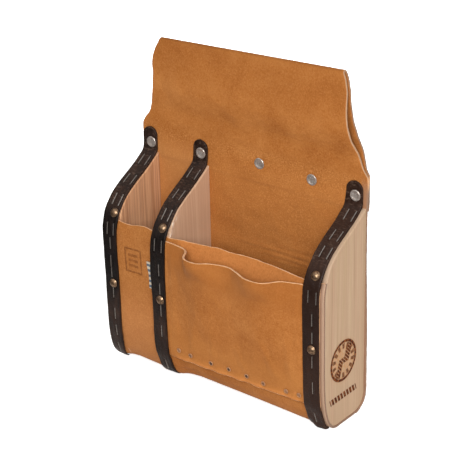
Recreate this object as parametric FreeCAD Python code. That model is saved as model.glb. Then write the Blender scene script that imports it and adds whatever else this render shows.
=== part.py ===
import FreeCAD, Part
import math
import os

# Open-top electrician's pouch: three softwood panels wrapped in one sheet of
# suede, a bellied front pocket, three riveted and stapled edge straps and a
# folded belt loop.  Millimetres.  -Y is the front, +Z is up, +X is to the right
# seen from the front.  Pieces are modelled with the rear edges of the panels in
# the plane y = 0 and moved on export, so that the origin of the finished pouch
# is the middle of the panels' depth, on the flat underside of the leather base.

V = FreeCAD.Vector

# ------------------------------------------------------------ driving sizes
WIDTH = 250.0            # over the outer faces of the side panels
HALF_WIDTH = WIDTH / 2
LEATHER_T = 2.0          # suede sheet
FIT = 0.05               # layer-to-layer clearance
TWO_LAYERS = 2 * LEATHER_T

WOOD_DEPTH = 63.2        # panel depth, front edge to back edge
WOOD_T = 15.0            # panel thickness
WOOD_TOP = 199.6         # rear tip of a panel
WOOD_BOTTOM = LEATHER_T  # the panels stand on the leather base
WOOD_ARRIS = 0.5         # chamfer along both faces
CORNER_R = 16.0          # rear bottom corner of a panel
CORNER_Y = -CORNER_R     # centre of that corner
CORNER_Z = WOOD_BOTTOM + CORNER_R
PANEL_X = {              # centre of each panel
    "left_side_panel": -HALF_WIDTH + WOOD_T / 2,
    "middle_divider_panel": -57.2,
    "right_side_panel": HALF_WIDTH - WOOD_T / 2,
}

# Front edge of a panel, (y, z), from the rear tip down to the flat bottom.
WOOD_EDGE = [
    (0.0, WOOD_TOP), (-5.6, 196.1), (-12.8, 191.2), (-19.2, 187.5), (-25.4, 184.2),
    (-31.7, 180.9), (-40.9, 175.6), (-49.1, 169.8), (-55.0, 163.0), (-58.5, 156.2),
    (-60.3, 150.1), (-62.3, 143.6), (-63.1, 136.0), (-WOOD_DEPTH, 120.0),
    (-WOOD_DEPTH, 100.0), (-WOOD_DEPTH, 78.0), (-WOOD_DEPTH, 62.0), (-63.0, 50.0),
    (-62.7, 43.0), (-62.0, 35.0), (-60.9, 27.5), (-59.1, 19.4), (-56.2, 12.0),
    (-52.2, 5.7), (-48.0, 2.9), (-43.5, WOOD_BOTTOM),
]

FRONT_WALL_TOP = 151.0   # upper edge of the front wall
FLEX_Z = 232.0           # line the belt loop bends about
FLEX_GAP = 2.2           # half of the split that stands for the bending line
BACK_WALL_TOP = FLEX_Z - FLEX_GAP
FLAP_BOTTOM = 196.0      # hidden lower end of the belt-loop leather


# ------------------------------------------------------------ curve helpers
def catmull(points, steps):
    """Dense smooth polyline through the given points (centripetal Catmull-Rom)."""
    dense = []
    last = len(points) - 1
    for i in range(last):
        before, start = points[max(i - 1, 0)], points[i]
        end, after = points[i + 1], points[min(i + 2, last)]
        # a repeated end point gives a zero span, replaced by 1
        span_in = math.dist(before, start) ** 0.5 or 1.0
        span = math.dist(start, end) ** 0.5 or 1.0
        span_out = math.dist(end, after) ** 0.5 or 1.0
        for k in range(steps):
            t = k / steps
            position = []
            for a, b, c, d in zip(before, start, end, after):
                slope_start = slope_end = c - b
                if i > 0:
                    slope_start = span * ((b - a) / span_in - (c - a) / (span_in + span)
                                          + (c - b) / span)
                if i < last - 1:
                    slope_end = span * ((c - b) / span - (d - b) / (span + span_out)
                                        + (d - c) / span_out)
                position.append((2 * t ** 3 - 3 * t ** 2 + 1) * b
                                + (t ** 3 - 2 * t ** 2 + t) * slope_start
                                + (-2 * t ** 3 + 3 * t ** 2) * c
                                + (t ** 3 - t ** 2) * slope_end)
            dense.append(tuple(position))
    dense.append(tuple(points[-1]))
    return dense


def offset(points, distance):
    """Offset to the left of travel by one distance, or by one per point."""
    if not isinstance(distance, list):
        distance = [distance] * len(points)
    moved = []
    for i, (point, reach) in enumerate(zip(points, distance)):
        a = points[max(i - 1, 0)]
        b = points[min(i + 1, len(points) - 1)]
        du, dv = b[0] - a[0], b[1] - a[1]
        length = math.hypot(du, dv)
        moved.append((point[0] - dv / length * reach, point[1] + du / length * reach))
    return moved


def smooth_step(t):
    return t * t * (3 - 2 * t)


def line(start, end):
    return Part.LineSegment(start, end).toShape()


def spline(vectors):
    curve = Part.BSplineCurve()
    curve.interpolate(vectors)
    return curve.toShape()


def spline_yz(points, x):
    return spline([V(x, y, z) for y, z in points])


def line_yz(start, end, x):
    return line(V(x, *start), V(x, *end))


def corner_arc(radius, x, rising=True):
    """Quarter circle about the rear bottom corner centre of the panels."""
    diagonal = radius * math.sqrt(0.5)
    bottom = V(x, CORNER_Y, CORNER_Z - radius)
    middle = V(x, CORNER_Y + diagonal, CORNER_Z - diagonal)
    rear = V(x, CORNER_Y + radius, CORNER_Z)
    ends = (bottom, rear) if rising else (rear, bottom)
    return Part.Arc(ends[0], middle, ends[1]).toShape()


def prism(edges, length):
    """Closed profile in a plane of constant x, extruded along +X."""
    return Part.Face(Part.Wire(edges)).extrude(V(length, 0, 0))


def band(outer, inner, x, length):
    """Prism between two profiles that run the same way."""
    return prism([spline_yz(outer, x), line_yz(outer[-1], inner[-1], x),
                  spline_yz(inner[::-1], x), line_yz(inner[0], outer[0], x)], length)


def solid(shape):
    """Merge split faces and unwrap a compound that holds a single solid."""
    shape = shape.removeSplitter()
    if shape.ShapeType == "Compound" and len(shape.Solids) == 1:
        return shape.Solids[0]
    return shape


# Dense panel edge.  It runs downwards with the outside on its right, so the
# outward offsets from it are negative.
EDGE = catmull(WOOD_EDGE, 4)


def front_y(z, out):
    """Foremost y, at height z, of the layer lying `out` outside the panel edge."""
    points = offset(EDGE, -out)
    crossings = []
    for a, b in zip(points, points[1:]):
        if (a[1] - z) * (b[1] - z) <= 0 and a[1] != b[1]:
            t = (a[1] - z) / (a[1] - b[1])
            crossings.append(a[0] + t * (b[0] - a[0]))
    return min(crossings)


def front_frame(z, out):
    """y and outward (y, z) direction on that layer, at height z."""
    dy = front_y(z + 1.0, out) - front_y(z - 1.0, out)
    dz = 2.0
    length = math.hypot(dy, dz)
    return front_y(z, out), (-dz / length, dy / length)


# ------------------------------------------------------------------- timber
def panel(centre_x):
    x = centre_x - WOOD_T / 2
    body = prism([spline_yz(EDGE, x),
                  line_yz(EDGE[-1], (CORNER_Y, WOOD_BOTTOM), x),
                  corner_arc(CORNER_R, x),
                  line_yz((0.0, CORNER_Z), (0.0, WOOD_TOP), x)], WOOD_T)
    # sanded arrises along both faces
    arrises = []
    for edge in body.Edges:
        xs = [vertex.Point.x for vertex in edge.Vertexes]
        if max(xs) - min(xs) < 1e-6:
            arrises.append(edge)
    return body.makeChamfer(WOOD_ARRIS, arrises)


# ------------------------------------------------------------ leather sheet
def body_leather():
    """Front wall, base and rear wall in one sheet."""
    front = [(front_y(FRONT_WALL_TOP, 0.0), FRONT_WALL_TOP)]
    front += [point for point in EDGE if point[1] < FRONT_WALL_TOP - 1.0]
    inner_z, outer_z = WOOD_BOTTOM - FIT, 0.0
    inner = offset(front, -FIT)
    outer = offset(front, -LEATHER_T)
    # level cut at the top, flat base at the bottom
    for points, base_z in ((inner, inner_z), (outer, outer_z)):
        points[0] = (points[0][0], FRONT_WALL_TOP)
        points[-1] = (points[-1][0], base_z)
    x = -HALF_WIDTH
    return prism([spline_yz(inner, x),
                  line_yz(inner[-1], (CORNER_Y, inner_z), x),
                  corner_arc(CORNER_R + FIT, x),
                  line_yz((FIT, CORNER_Z), (FIT, BACK_WALL_TOP), x),
                  line_yz((FIT, BACK_WALL_TOP), (LEATHER_T, BACK_WALL_TOP), x),
                  line_yz((LEATHER_T, BACK_WALL_TOP), (LEATHER_T, CORNER_Z), x),
                  corner_arc(CORNER_R + LEATHER_T, x, rising=False),
                  line_yz((CORNER_Y, outer_z), outer[-1], x),
                  spline_yz(outer[::-1], x),
                  line_yz(outer[0], inner[0], x)], WIDTH)


def loop_end_flap():
    """End of the belt-loop leather, lying behind the rear wall."""
    return Part.makeBox(WIDTH, LEATHER_T - FIT, BACK_WALL_TOP - FLAP_BOTTOM,
                        V(-HALF_WIDTH, LEATHER_T + FIT, FLAP_BOTTOM))


# ---------------------------------------------------------------- belt loop
LOOP_FOOT = FLEX_Z + FLEX_GAP
LOOP_TOP = 318.3         # top fold of the belt loop
FOLD_R = 2.0             # mid-thickness radius of that fold

# Mid-thickness lines, (y, z): front leaf going up, back leaf going down.
LOOP_FRONT = [
    (1.0, LOOP_FOOT), (-0.6, 240.0), (-2.8, 248.0), (-4.6, 258.0),
    (-5.6, 271.0), (-5.4, 285.0), (-4.2, 298.0), (-2.4, 310.0),
]
LOOP_BACK = [
    (2.0, 310.0), (2.2, 301.0), (3.9, 290.0), (5.4, 278.0),
    (6.6, 265.0), (6.8, 252.0), (5.3, 241.5), (3.1, LOOP_FOOT),
]
# Right-hand outline seen from the front, (x, z): square shoulders running into
# a narrower loop.
LOOP_SIDE = [
    (125.0, 225.0), (125.0, 229.0), (120.5, 236.0), (115.0, 250.0),
    (110.4, 260.0), (108.2, 273.0), (107.2, 288.0), (106.5, 300.0),
    (104.6, 311.0), (101.5, 317.0), (99.0, 325.0),
]
TRIM_REACH = 40.0        # how far the outline cutter reaches to front and back


def belt_loop():
    """Two leaves joined by the top fold, tunnel running along X."""
    fold_z = LOOP_TOP - FOLD_R - LEATHER_T / 2
    fold = []
    for degrees in range(0, 181, 30):
        angle = math.radians(degrees)
        fold.append((-FOLD_R * math.cos(angle), fold_z + FOLD_R * math.sin(angle)))
    middle = catmull(LOOP_FRONT + fold + LOOP_BACK, 4)
    outer = offset(middle, LEATHER_T / 2)
    inner = offset(middle, -(LEATHER_T / 2 - FIT))
    for points in (outer, inner):
        points[0] = (points[0][0], LOOP_FOOT)
        points[-1] = (points[-1][0], LOOP_FOOT)
    body = band(outer, inner, -HALF_WIDTH, WIDTH)

    side = catmull(LOOP_SIDE, 3)
    right = [V(x, -TRIM_REACH, z) for x, z in side]
    left = [V(-x, -TRIM_REACH, z) for x, z in reversed(side)]
    outline = Part.makePolygon(right + left + [right[0]])
    cutter = Part.Face(outline).extrude(V(0, 2 * TRIM_REACH, 0))
    return solid(body.common(cutter))


# ------------------------------------------------------------- front pocket
POCKET_TOP = 146.0       # mouth of the front pocket
POCKET_BOTTOM = 28.0     # lower cut edge of the pocket leather
POCKET_ENDS = (-65.0, HALF_WIDTH)
POCKET_GAP = 1.8 * FIT   # clearance in front of the wall leather

# Bulge of the pocket's inner face at the mouth, (x, distance forward).
POCKET_PLAN = [
    (-48.4, 0.0), (-45.4, 0.05), (-41.5, 0.35), (-34.6, 1.1), (-29.0, 2.3),
    (-24.6, 4.6), (-21.4, 8.6), (-19.3, 13.2), (-17.0, 17.0), (-13.4, 19.8),
    (-7.9, 21.0), (-1.9, 20.6), (4.6, 18.0), (11.0, 14.6), (17.8, 11.8),
    (25.7, 10.4), (32.7, 11.4), (40.7, 14.8), (49.5, 19.2), (57.3, 21.6),
    (65.9, 21.3), (73.7, 17.8), (78.8, 12.6), (82.6, 8.0), (87.2, 4.9),
    (93.0, 3.0), (97.8, 1.3), (101.4, 0.35), (104.4, 0.0),
]
# Loft stations, (z, share of the bulge).
POCKET_LEVELS = [
    (POCKET_TOP, 1.0), (134.0, 0.985), (120.0, 0.92), (104.0, 0.80), (88.0, 0.63),
    (72.0, 0.43), (60.0, 0.26), (50.0, 0.13), (42.0, 0.045), (35.0, 0.006),
    (POCKET_BOTTOM, 0.0),
]


def pocket_section(z, share):
    """Closed ring of the pocket leather at height z, flat towards both ends."""
    thickness = LEATHER_T - POCKET_GAP
    inner_y = front_y(z, LEATHER_T + POCKET_GAP)
    outer_y = inner_y - thickness
    plan = [(x, inner_y - bulge * share) for x, bulge in POCKET_PLAN]
    face = offset(plan, -thickness)
    face[0] = (plan[0][0], outer_y)
    face[-1] = (plan[-1][0], outer_y)
    inner = [V(x, y, z) for x, y in plan]
    outer = [V(x, y, z) for x, y in face]
    left_x, right_x = POCKET_ENDS
    left_inner, left_outer = V(left_x, inner_y, z), V(left_x, outer_y, z)
    right_inner, right_outer = V(right_x, inner_y, z), V(right_x, outer_y, z)
    return Part.Wire([line(left_inner, inner[0]), spline(inner),
                      line(inner[-1], right_inner), line(right_inner, right_outer),
                      line(right_outer, outer[-1]), spline(outer[::-1]),
                      line(outer[0], left_outer), line(left_outer, left_inner)])


def front_pocket():
    """Bellied outer pocket: full at the mouth, flat where it is riveted."""
    sections = [pocket_section(z, share) for z, share in POCKET_LEVELS]
    return Part.makeLoft(sections, True, False)


# -------------------------------------------------------------- edge straps
# Tables hold one entry per strap: left, middle, right.
STRAP_X = (-118.3, -58.9, 113.5)                   # centre lines
STRAP_OVER = (LEATHER_T, TWO_LAYERS, TWO_LAYERS)   # leather the strap lies over
STRAP_CLEAR_Z = (152.5, 146.8, 146.8)              # fully over that leather here
STRAP_W = 16.4
STRAP_T = 2.3
STRAP_TOP = 224.0        # rounded upper end of each strap
STRAP_LEAVES_WOOD = 168.0  # the strap starts to rise off the panel edge here
STEP_DOWN = 6.0          # height of the step below the pocket leather
SKIVE_TOP = 13.0         # the strap thins below this height
SKIVE_HEIGHT = 9.9
SKIVE_T = 0.7            # thinnest part of the strap
STRAP_EDGE_TOP = 196.5   # above this the strap follows its own upright run
STRAP_LOWEST = 0.35      # the strap stops above the base plane

# Upright run at the top of a strap, (y, z), going down.
STRAP_RUN_INNER = [(-FIT, STRAP_TOP), (-FIT, 214.0), (-FIT, 205.5), (-0.65, 200.8)]
STRAP_RUN_OUTER = [(-STRAP_T, STRAP_TOP), (-STRAP_T, 214.0), (-2.45, 207.0),
                   (-3.6, 201.6)]


def strap_profiles(index):
    """Inner and outer profile of a strap along the whole panel edge."""
    leather = STRAP_OVER[index]
    clear_z = STRAP_CLEAR_Z[index]
    inner, outer = [], []
    for _, z in EDGE:
        if z > STRAP_LEAVES_WOOD:
            gap = FIT
        elif z > clear_z:
            t = (STRAP_LEAVES_WOOD - z) / (STRAP_LEAVES_WOOD - clear_z)
            gap = FIT + leather * smooth_step(t)
        elif z > POCKET_BOTTOM:
            gap = leather + FIT
        elif z > POCKET_BOTTOM - STEP_DOWN:
            t = (POCKET_BOTTOM - z) / STEP_DOWN
            gap = leather + FIT - (leather - LEATHER_T) * smooth_step(t)
        else:
            gap = LEATHER_T + FIT
        thickness = STRAP_T
        if z < SKIVE_TOP:
            thickness -= (STRAP_T - SKIVE_T) * min(1.0, (SKIVE_TOP - z) / SKIVE_HEIGHT)
        inner.append(-gap)
        outer.append(-(gap + thickness))
    return offset(EDGE, inner), offset(EDGE, outer)


def strap(index):
    """Edge strap; the lower end is skived and tucked under the panel."""
    inner, outer = strap_profiles(index)
    first = next(i for i, point in enumerate(EDGE) if point[1] < STRAP_EDGE_TOP)
    last = len(EDGE) - 1
    while outer[last][1] < STRAP_LOWEST:
        last -= 1
    inner = STRAP_RUN_INNER + inner[first:last + 1]
    outer = STRAP_RUN_OUTER + outer[first:last + 1]
    centre_x = STRAP_X[index]
    body = band(outer, inner, centre_x - STRAP_W / 2, STRAP_W)
    # rounded upper end
    radius = STRAP_W / 2
    centre_z = STRAP_TOP - radius
    block = Part.makeBox(STRAP_W + 4, 12, radius + 6, V(centre_x - radius - 2, -8, centre_z))
    disc = Part.makeCylinder(radius, 12, V(centre_x, -8, centre_z), V(0, 1, 0))
    return solid(body.cut(block.cut(disc)))


def on_strap(index, z):
    """y, outward and downward (y, z) directions on a strap's outer face."""
    points = strap_profiles(index)[1]
    for a, b in zip(points, points[1:]):
        if b[1] <= z <= a[1] and a[1] - b[1] > 1e-6:
            t = (a[1] - z) / (a[1] - b[1])
            dy, dz = b[0] - a[0], b[1] - a[1]
            length = math.hypot(dy, dz)
            return a[0] + t * dy, (dz / length, -dy / length), (dy / length, dz / length)
    raise ValueError("no strap face at z = %s" % z)


# -------------------------------------------------- turned fastener helpers
def place(shape, origin, axis):
    """Put a shape built about +Z (outward) at origin with outward = axis."""
    placed = shape.copy()
    placed.Placement = FreeCAD.Placement(V(*origin), FreeCAD.Rotation(V(0, 0, 1), V(*axis)))
    return placed


def profile_vectors(profile):
    return [V(r, 0, z) for r, z in profile]


def spin(wire):
    return Part.Face(wire).revolve(V(0, 0, 0), V(0, 0, 1), 360)


def spin_polygon(profile):
    """Solid of revolution from straight (radius, z) segments."""
    points = profile_vectors(profile)
    return spin(Part.makePolygon(points + [points[0]]))


def spin_closed(points, last_edge, axis_top):
    """Solid of revolution: straight segments, one more edge to the axis, closed."""
    edges = [line(a, b) for a, b in zip(points, points[1:])]
    return spin(Part.Wire(edges + [last_edge, line(axis_top, points[0])]))


# ------------------------------------------------------------------- rivets
RIVET_HEAD_R = 5.4
RIVET_CAP_R = 4.8
RIVET_CAP_T = 1.2
RIVET_SHANK_R = 1.6
RIVET_TAIL = 1.3         # shank standing out behind the two leathers
CAP_BORE_PLAY = 0.02     # radial
HOLE_PLAY = 0.05         # radial, holes in the leather
STRAP_RIVETS = ((-117.2, 209.3), (-57.5, 211.3), (114.8, 210.8))   # (x, z)
STRAP_RIVET_SEAT = -STRAP_T + 0.25    # y under the head, sunk into the strap
LOOP_RIVETS = ((8.75, 215.5), (66.84, 213.5))                      # (x, z)
LOOP_RIVET_SEAT = -0.02

POCKET_RIVETS = ((-38.9, 37.4), (-25.0, 36.0), (-0.9, 35.5), (20.0, 36.0),
                 (40.4, 35.3), (59.2, 33.6), (84.8, 34.0), (99.1, 34.8))   # (x, z)
POCKET_RIVET_R = 2.4
POCKET_SHANK_R = 1.0
POCKET_SHANK_LEN = 5.0
BURR_R = 2.6
BURR_T = 0.6


def dished_rivet(grip):
    """Round head with a raised rim and a dished middle, plus its shank."""
    r = RIVET_HEAD_R
    straight = profile_vectors([(0, -grip), (RIVET_SHANK_R, -grip), (RIVET_SHANK_R, 0.0),
                                (r - 0.3, 0.0)])
    dish = profile_vectors([(r - 0.02, 0.35), (r - 0.08, 0.75), (r - 0.45, 1.12),
                            (r - 1.0, 1.22), (r - 1.5, 1.08), (r - 2.0, 0.78),
                            (r - 2.6, 0.52), (r - 3.3, 0.40), (r - 4.2, 0.36), (0, 0.35)])
    return spin_closed(straight, spline([straight[-1]] + dish), dish[-1])


def rivet_cap(cap_r, bore_r, thick):
    return spin_polygon([(bore_r, 0.0), (cap_r - 0.3, 0.0), (cap_r, 0.35),
                         (cap_r - 0.25, thick * 0.7), (cap_r - 0.9, thick),
                         (bore_r + 0.6, thick), (bore_r, thick * 0.8)])


def through_rivet(x, z, seat):
    """Rivet through the rear wall and flap, its back cap and its hole."""
    grip = (TWO_LAYERS + RIVET_TAIL) - seat
    rivet = place(dished_rivet(grip), (x, seat, z), (0, -1, 0))
    cap = place(rivet_cap(RIVET_CAP_R, RIVET_SHANK_R + CAP_BORE_PLAY, RIVET_CAP_T),
                (x, TWO_LAYERS + FIT, z), (0, 1, 0))
    hole = Part.makeCylinder(RIVET_SHANK_R + HOLE_PLAY, 20, V(x, -10, z), V(0, 1, 0))
    return rivet, cap, hole


def head_recess(x, z):
    """Room for a rivet head sunk into a strap."""
    depth = 8
    return Part.makeCylinder(RIVET_HEAD_R + 0.1, depth, V(x, STRAP_RIVET_SEAT - depth, z),
                             V(0, 1, 0))


def tubular_rivet():
    r = POCKET_RIVET_R
    return spin_polygon([(0, -POCKET_SHANK_LEN), (POCKET_SHANK_R, -POCKET_SHANK_LEN),
                         (POCKET_SHANK_R, 0.0), (r - 0.2, 0.0), (r, 0.3),
                         (r - 0.15, 0.65), (r - 0.5, 0.85), (r - 0.85, 0.8),
                         (1.2, 0.55), (1.05, 0.2), (0, 0.15)])


def pocket_rivet(x, z):
    """Small rivet of the pocket's lower edge, its burr, hole and head recess."""
    y, outward = front_frame(z, TWO_LAYERS + 2 * FIT)
    seat = (x, y, z)
    axis = (0, outward[0], outward[1])
    inward = (0, -outward[0], -outward[1])
    reach = TWO_LAYERS + 0.2      # from the head seat in to the burr
    burr_seat = (x, y - outward[0] * reach, z - outward[1] * reach)
    rivet = place(tubular_rivet(), seat, axis)
    burr = place(rivet_cap(BURR_R, POCKET_SHANK_R + CAP_BORE_PLAY, BURR_T),
                 burr_seat, inward)
    hole = place(Part.makeCylinder(POCKET_SHANK_R + HOLE_PLAY, 12, V(0, 0, -8)), seat, axis)
    recess = place(Part.makeCylinder(POCKET_RIVET_R + HOLE_PLAY, 3), seat, axis)
    return rivet, burr, hole, recess


# --------------------------------------------------------------- dome nails
DOME_R = 4.5             # head radius
DOME_H = 2.5             # height of the domed part
DOME_RIM = 0.25          # upright rim below the dome
NAIL_R = 0.9
NAIL_LEN = 15.0
# One nail per strap, (x from the strap centre line, z).
UPPER_NAILS = ((3.0, 157.9), (2.8, 157.6), (1.6, 157.0))
LOWER_NAILS = ((2.2, 86.4), (2.0, 86.2), (1.5, 87.0))


def dome_nail():
    points = profile_vectors([(0, -NAIL_LEN), (NAIL_R * 0.35, -NAIL_LEN + 1.6),
                              (NAIL_R, -NAIL_LEN + 3.2), (NAIL_R, 0.0),
                              (DOME_R - 0.25, 0.0), (DOME_R, DOME_RIM)])
    sphere_r = (DOME_R ** 2 + DOME_H ** 2) / (2 * DOME_H)
    angle = math.asin(DOME_R / sphere_r) / 2
    middle = V(sphere_r * math.sin(angle), 0,
               DOME_RIM + sphere_r * math.cos(angle) - (sphere_r - DOME_H))
    top = V(0, 0, DOME_RIM + DOME_H)
    return spin_closed(points, Part.Arc(points[-1], middle, top).toShape(), top)


def strap_nails(places):
    nails = []
    for index, (dx, z) in enumerate(places):
        y, outward, _ = on_strap(index, z)
        nails.append(place(dome_nail(), (STRAP_X[index] + dx, y, z), (0, *outward)))
    return Part.makeCompound(nails)


# ------------------------------------------------------------------ staples
STAPLE_CROWN = 11.8
STAPLE_LEG = 10.0
STAPLE_WIRE = 0.9        # width of the wire
STAPLE_WIRE_T = 0.6      # thickness of the wire
STAPLE_BEND = 0.35       # outer radius of the bends
STAPLE_SINK = 0.45       # how far the underside of a crown is sunk in the strap

# Side-by-side staples on the slope, per strap: (z, left dx, right dx).
STAPLE_PAIRS = (
    ((194.3, -3.9, 3.7), (182.1, -4.2, 4.1), (168.2, -3.2, 4.4), (142.4, -2.9, 4.5)),
    ((194.0, -4.3, 4.7), (181.3, -2.8, 4.6), (167.6, -2.3, 4.7), (141.4, -3.0, 5.2)),
    ((195.2, -2.5, 5.6), (183.5, -2.5, 5.2), (173.6, -2.5, 5.4), (138.2, -2.5, 6.0)),
)
# Single row below, per strap: (z, dx, crown length).
STAPLE_ROW = (
    ((127.6, 0.4, 11.6), (109.0, 0.2, 11.8), (97.2, 0.5, 10.2), (76.2, 1.4, 10.8),
     (54.0, 2.0, 11.8), (35.5, 2.0, 11.6)),
    ((116.7, 1.4, 11.8), (97.6, 1.8, 11.2), (74.9, 2.2, 11.8), (53.4, 2.0, 11.8)),
    ((116.3, 1.7, 11.8), (98.6, 1.9, 11.0), (74.6, 1.9, 11.8), (48.7, 2.4, 11.8)),
)
STAPLE_FOOT = (14.5, 0.6, STAPLE_CROWN)   # lowest staple of every strap, same columns
BACK_STAPLE_Z = (40.0, 85.0, 130.0, 175.0)
BASE_STAPLE_Y = (-37.0, -22.0)


def staple(crown):
    """U of flat wire: crown along X at z 0..thickness, legs towards -Z."""
    half, wire_t = crown / 2, STAPLE_WIRE_T
    block = Part.makeBox(crown, STAPLE_WIRE, STAPLE_LEG + wire_t,
                         V(-half, -STAPLE_WIRE / 2, -STAPLE_LEG))
    core = Part.makeBox(crown - 2 * wire_t, STAPLE_WIRE + 2, STAPLE_LEG,
                        V(-half + wire_t, -STAPLE_WIRE / 2 - 1, -STAPLE_LEG))
    body = block.cut(core)
    bends = [edge for edge in body.Edges if len(edge.Vertexes) == 2
             and all(abs(abs(vertex.Point.x) - half) < 1e-6
                     and abs(vertex.Point.z - wire_t) < 1e-6
                     for vertex in edge.Vertexes)]
    return body.makeFillet(STAPLE_BEND, bends)


def staple_at(x, y, z, normal, along, crown=STAPLE_CROWN):
    """Staple with its crown lying in direction `along`, outward = normal."""
    shape = staple(crown)
    along, normal = V(*along), V(*normal)
    across = normal.cross(along)
    shape.Placement = FreeCAD.Placement(FreeCAD.Matrix(
        along.x, across.x, normal.x, x,
        along.y, across.y, normal.y, y,
        along.z, across.z, normal.z, z,
        0, 0, 0, 1))
    return shape


def strap_staples(index):
    """Crowns run along the strap: pairs on the slope, a single row below."""
    stations = []
    for z, left, right in STAPLE_PAIRS[index]:
        stations += [(z, left, STAPLE_CROWN), (z, right, STAPLE_CROWN)]
    stations += STAPLE_ROW[index]
    stations.append(STAPLE_FOOT)
    shapes = []
    for z, dx, crown in stations:
        y, outward, down = on_strap(index, z)
        shapes.append(staple_at(STRAP_X[index] + dx, y - STAPLE_SINK * outward[0],
                                z - STAPLE_SINK * outward[1],
                                (0, *outward), (0, *down), crown))
    return Part.makeCompound(shapes)


def back_staples():
    """Upright staples through the rear wall into the panels."""
    return Part.makeCompound([staple_at(x, LEATHER_T, z, (0, 1, 0), (0, 0, -1))
                              for x in PANEL_X.values() for z in BACK_STAPLE_Z])


def base_staples():
    """Staples up into the panels, crowns sunk flush in the leather base."""
    seat_z = STAPLE_WIRE_T + 0.05
    return Part.makeCompound([staple_at(x, y, seat_z, (0, 0, -1), (0, 1, 0))
                              for x in PANEL_X.values() for y in BASE_STAPLE_Y])


# ---------------------------------------------------------------- woven tab
TAB_LEFT_X = -71.3
TAB_WIDTH = 6.1
TAB_T = 1.3
TAB_Z = (93.0, 120.0)    # lower and upper end
TAB_SEAT_Z = 105.0       # height at which the wall leather's front is taken
TAB_GAP = 0.02
TAB_FOLD_R = 0.5


def woven_tab():
    """Folded tab caught under the left side of the middle strap."""
    seat_y = front_y(TAB_SEAT_Z, LEATHER_T + FIT)
    tab = Part.makeBox(TAB_WIDTH, TAB_T, TAB_Z[1] - TAB_Z[0],
                       V(TAB_LEFT_X, seat_y - TAB_T - TAB_GAP, TAB_Z[0]))
    # upright edges of the free left side
    fold = [edge for edge in tab.Edges
            if all(abs(vertex.Point.x - TAB_LEFT_X) < 1e-6 for vertex in edge.Vertexes)
            and abs(edge.Vertexes[0].Point.z - edge.Vertexes[-1].Point.z) > 1]
    return tab.makeFillet(TAB_FOLD_R, fold)


# ----------------------------------------------------------------- assembly
nodes = {name: panel(x) for name, x in PANEL_X.items()}

# every hole and recess the rivets need in the leather
punches = []

strap_rivets, strap_caps = [], []
for x, z in STRAP_RIVETS:
    rivet, cap, hole = through_rivet(x, z, STRAP_RIVET_SEAT)
    strap_rivets.append(rivet)
    strap_caps.append(cap)
    punches += [hole, head_recess(x, z)]
nodes["strap_rivets"] = Part.makeCompound(strap_rivets)
nodes["strap_rivet_back_caps"] = Part.makeCompound(strap_caps)

loop_rivets, loop_caps = [], []
for x, z in LOOP_RIVETS:
    rivet, cap, hole = through_rivet(x, z, LOOP_RIVET_SEAT)
    loop_rivets.append(rivet)
    loop_caps.append(cap)
    punches.append(hole)
nodes["loop_rivets"] = Part.makeCompound(loop_rivets)
nodes["loop_rivet_back_caps"] = Part.makeCompound(loop_caps)

pocket_rivets, pocket_burrs = [], []
for x, z in POCKET_RIVETS:
    rivet, burr, hole, recess = pocket_rivet(x, z)
    pocket_rivets.append(rivet)
    pocket_burrs.append(burr)
    punches += [hole, recess]
nodes["pocket_rivets"] = Part.makeCompound(pocket_rivets)
nodes["pocket_rivet_burrs"] = Part.makeCompound(pocket_burrs)

punched = {
    "body_leather": body_leather(),
    "loop_end_flap": loop_end_flap(),
    "front_pocket_leather": front_pocket(),
}
for index, side in enumerate(("left", "middle", "right")):
    punched[side + "_edge_strap"] = strap(index)
    nodes[side + "_strap_staples"] = strap_staples(index)
cutters = Part.makeCompound(punches)
for name, shape in punched.items():
    nodes[name] = solid(shape.cut(cutters))

nodes["belt_loop_leather"] = belt_loop()
nodes["upper_dome_nails"] = strap_nails(UPPER_NAILS)
nodes["lower_dome_nails"] = strap_nails(LOWER_NAILS)
nodes["back_staples"] = back_staples()
nodes["base_staples"] = base_staples()
nodes["woven_tab"] = woven_tab()

os.makedirs("parts", exist_ok=True)
for name, shape in nodes.items():
    shape = shape.copy()
    shape.translate(V(0, WOOD_DEPTH / 2, 0))
    shape.exportStep("parts/" + name + ".step")
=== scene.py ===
"""Suede belt pouch on three upright wooden panels.

One suede sheet forms the front wall, the base, the rear wall and the folded
belt loop above it.  A bulging pocket is riveted to the front, three dark
leather straps run down the panel edges and a woven tab lies beside the middle
strap.

The frame is in metres with +Z up, +X to the right and the front towards -Y.
Shapes are described here in millimetres with y = 0 at the back of the timber
and z = 0 at the underside of the leather base; in_frame() converts them.
"""
import math

import bmesh
import bpy
import numpy as np
from mathutils import Matrix, Vector


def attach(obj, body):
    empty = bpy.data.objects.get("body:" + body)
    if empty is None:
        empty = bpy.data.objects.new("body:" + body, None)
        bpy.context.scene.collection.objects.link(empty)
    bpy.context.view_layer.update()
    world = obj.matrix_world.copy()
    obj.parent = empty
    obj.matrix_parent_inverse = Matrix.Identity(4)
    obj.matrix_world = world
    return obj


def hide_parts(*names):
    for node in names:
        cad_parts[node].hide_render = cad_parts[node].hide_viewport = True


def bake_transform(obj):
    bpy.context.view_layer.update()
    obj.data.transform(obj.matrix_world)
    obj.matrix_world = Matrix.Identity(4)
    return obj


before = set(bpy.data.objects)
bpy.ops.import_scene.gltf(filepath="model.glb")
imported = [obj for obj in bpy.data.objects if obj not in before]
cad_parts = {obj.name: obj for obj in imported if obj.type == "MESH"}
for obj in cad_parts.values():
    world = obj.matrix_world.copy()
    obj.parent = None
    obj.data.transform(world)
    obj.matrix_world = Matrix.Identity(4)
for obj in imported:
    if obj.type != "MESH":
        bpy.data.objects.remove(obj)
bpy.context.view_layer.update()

MM = 0.001
REAR_Y = 31.6            # back of the timber, from the frame's origin

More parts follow.
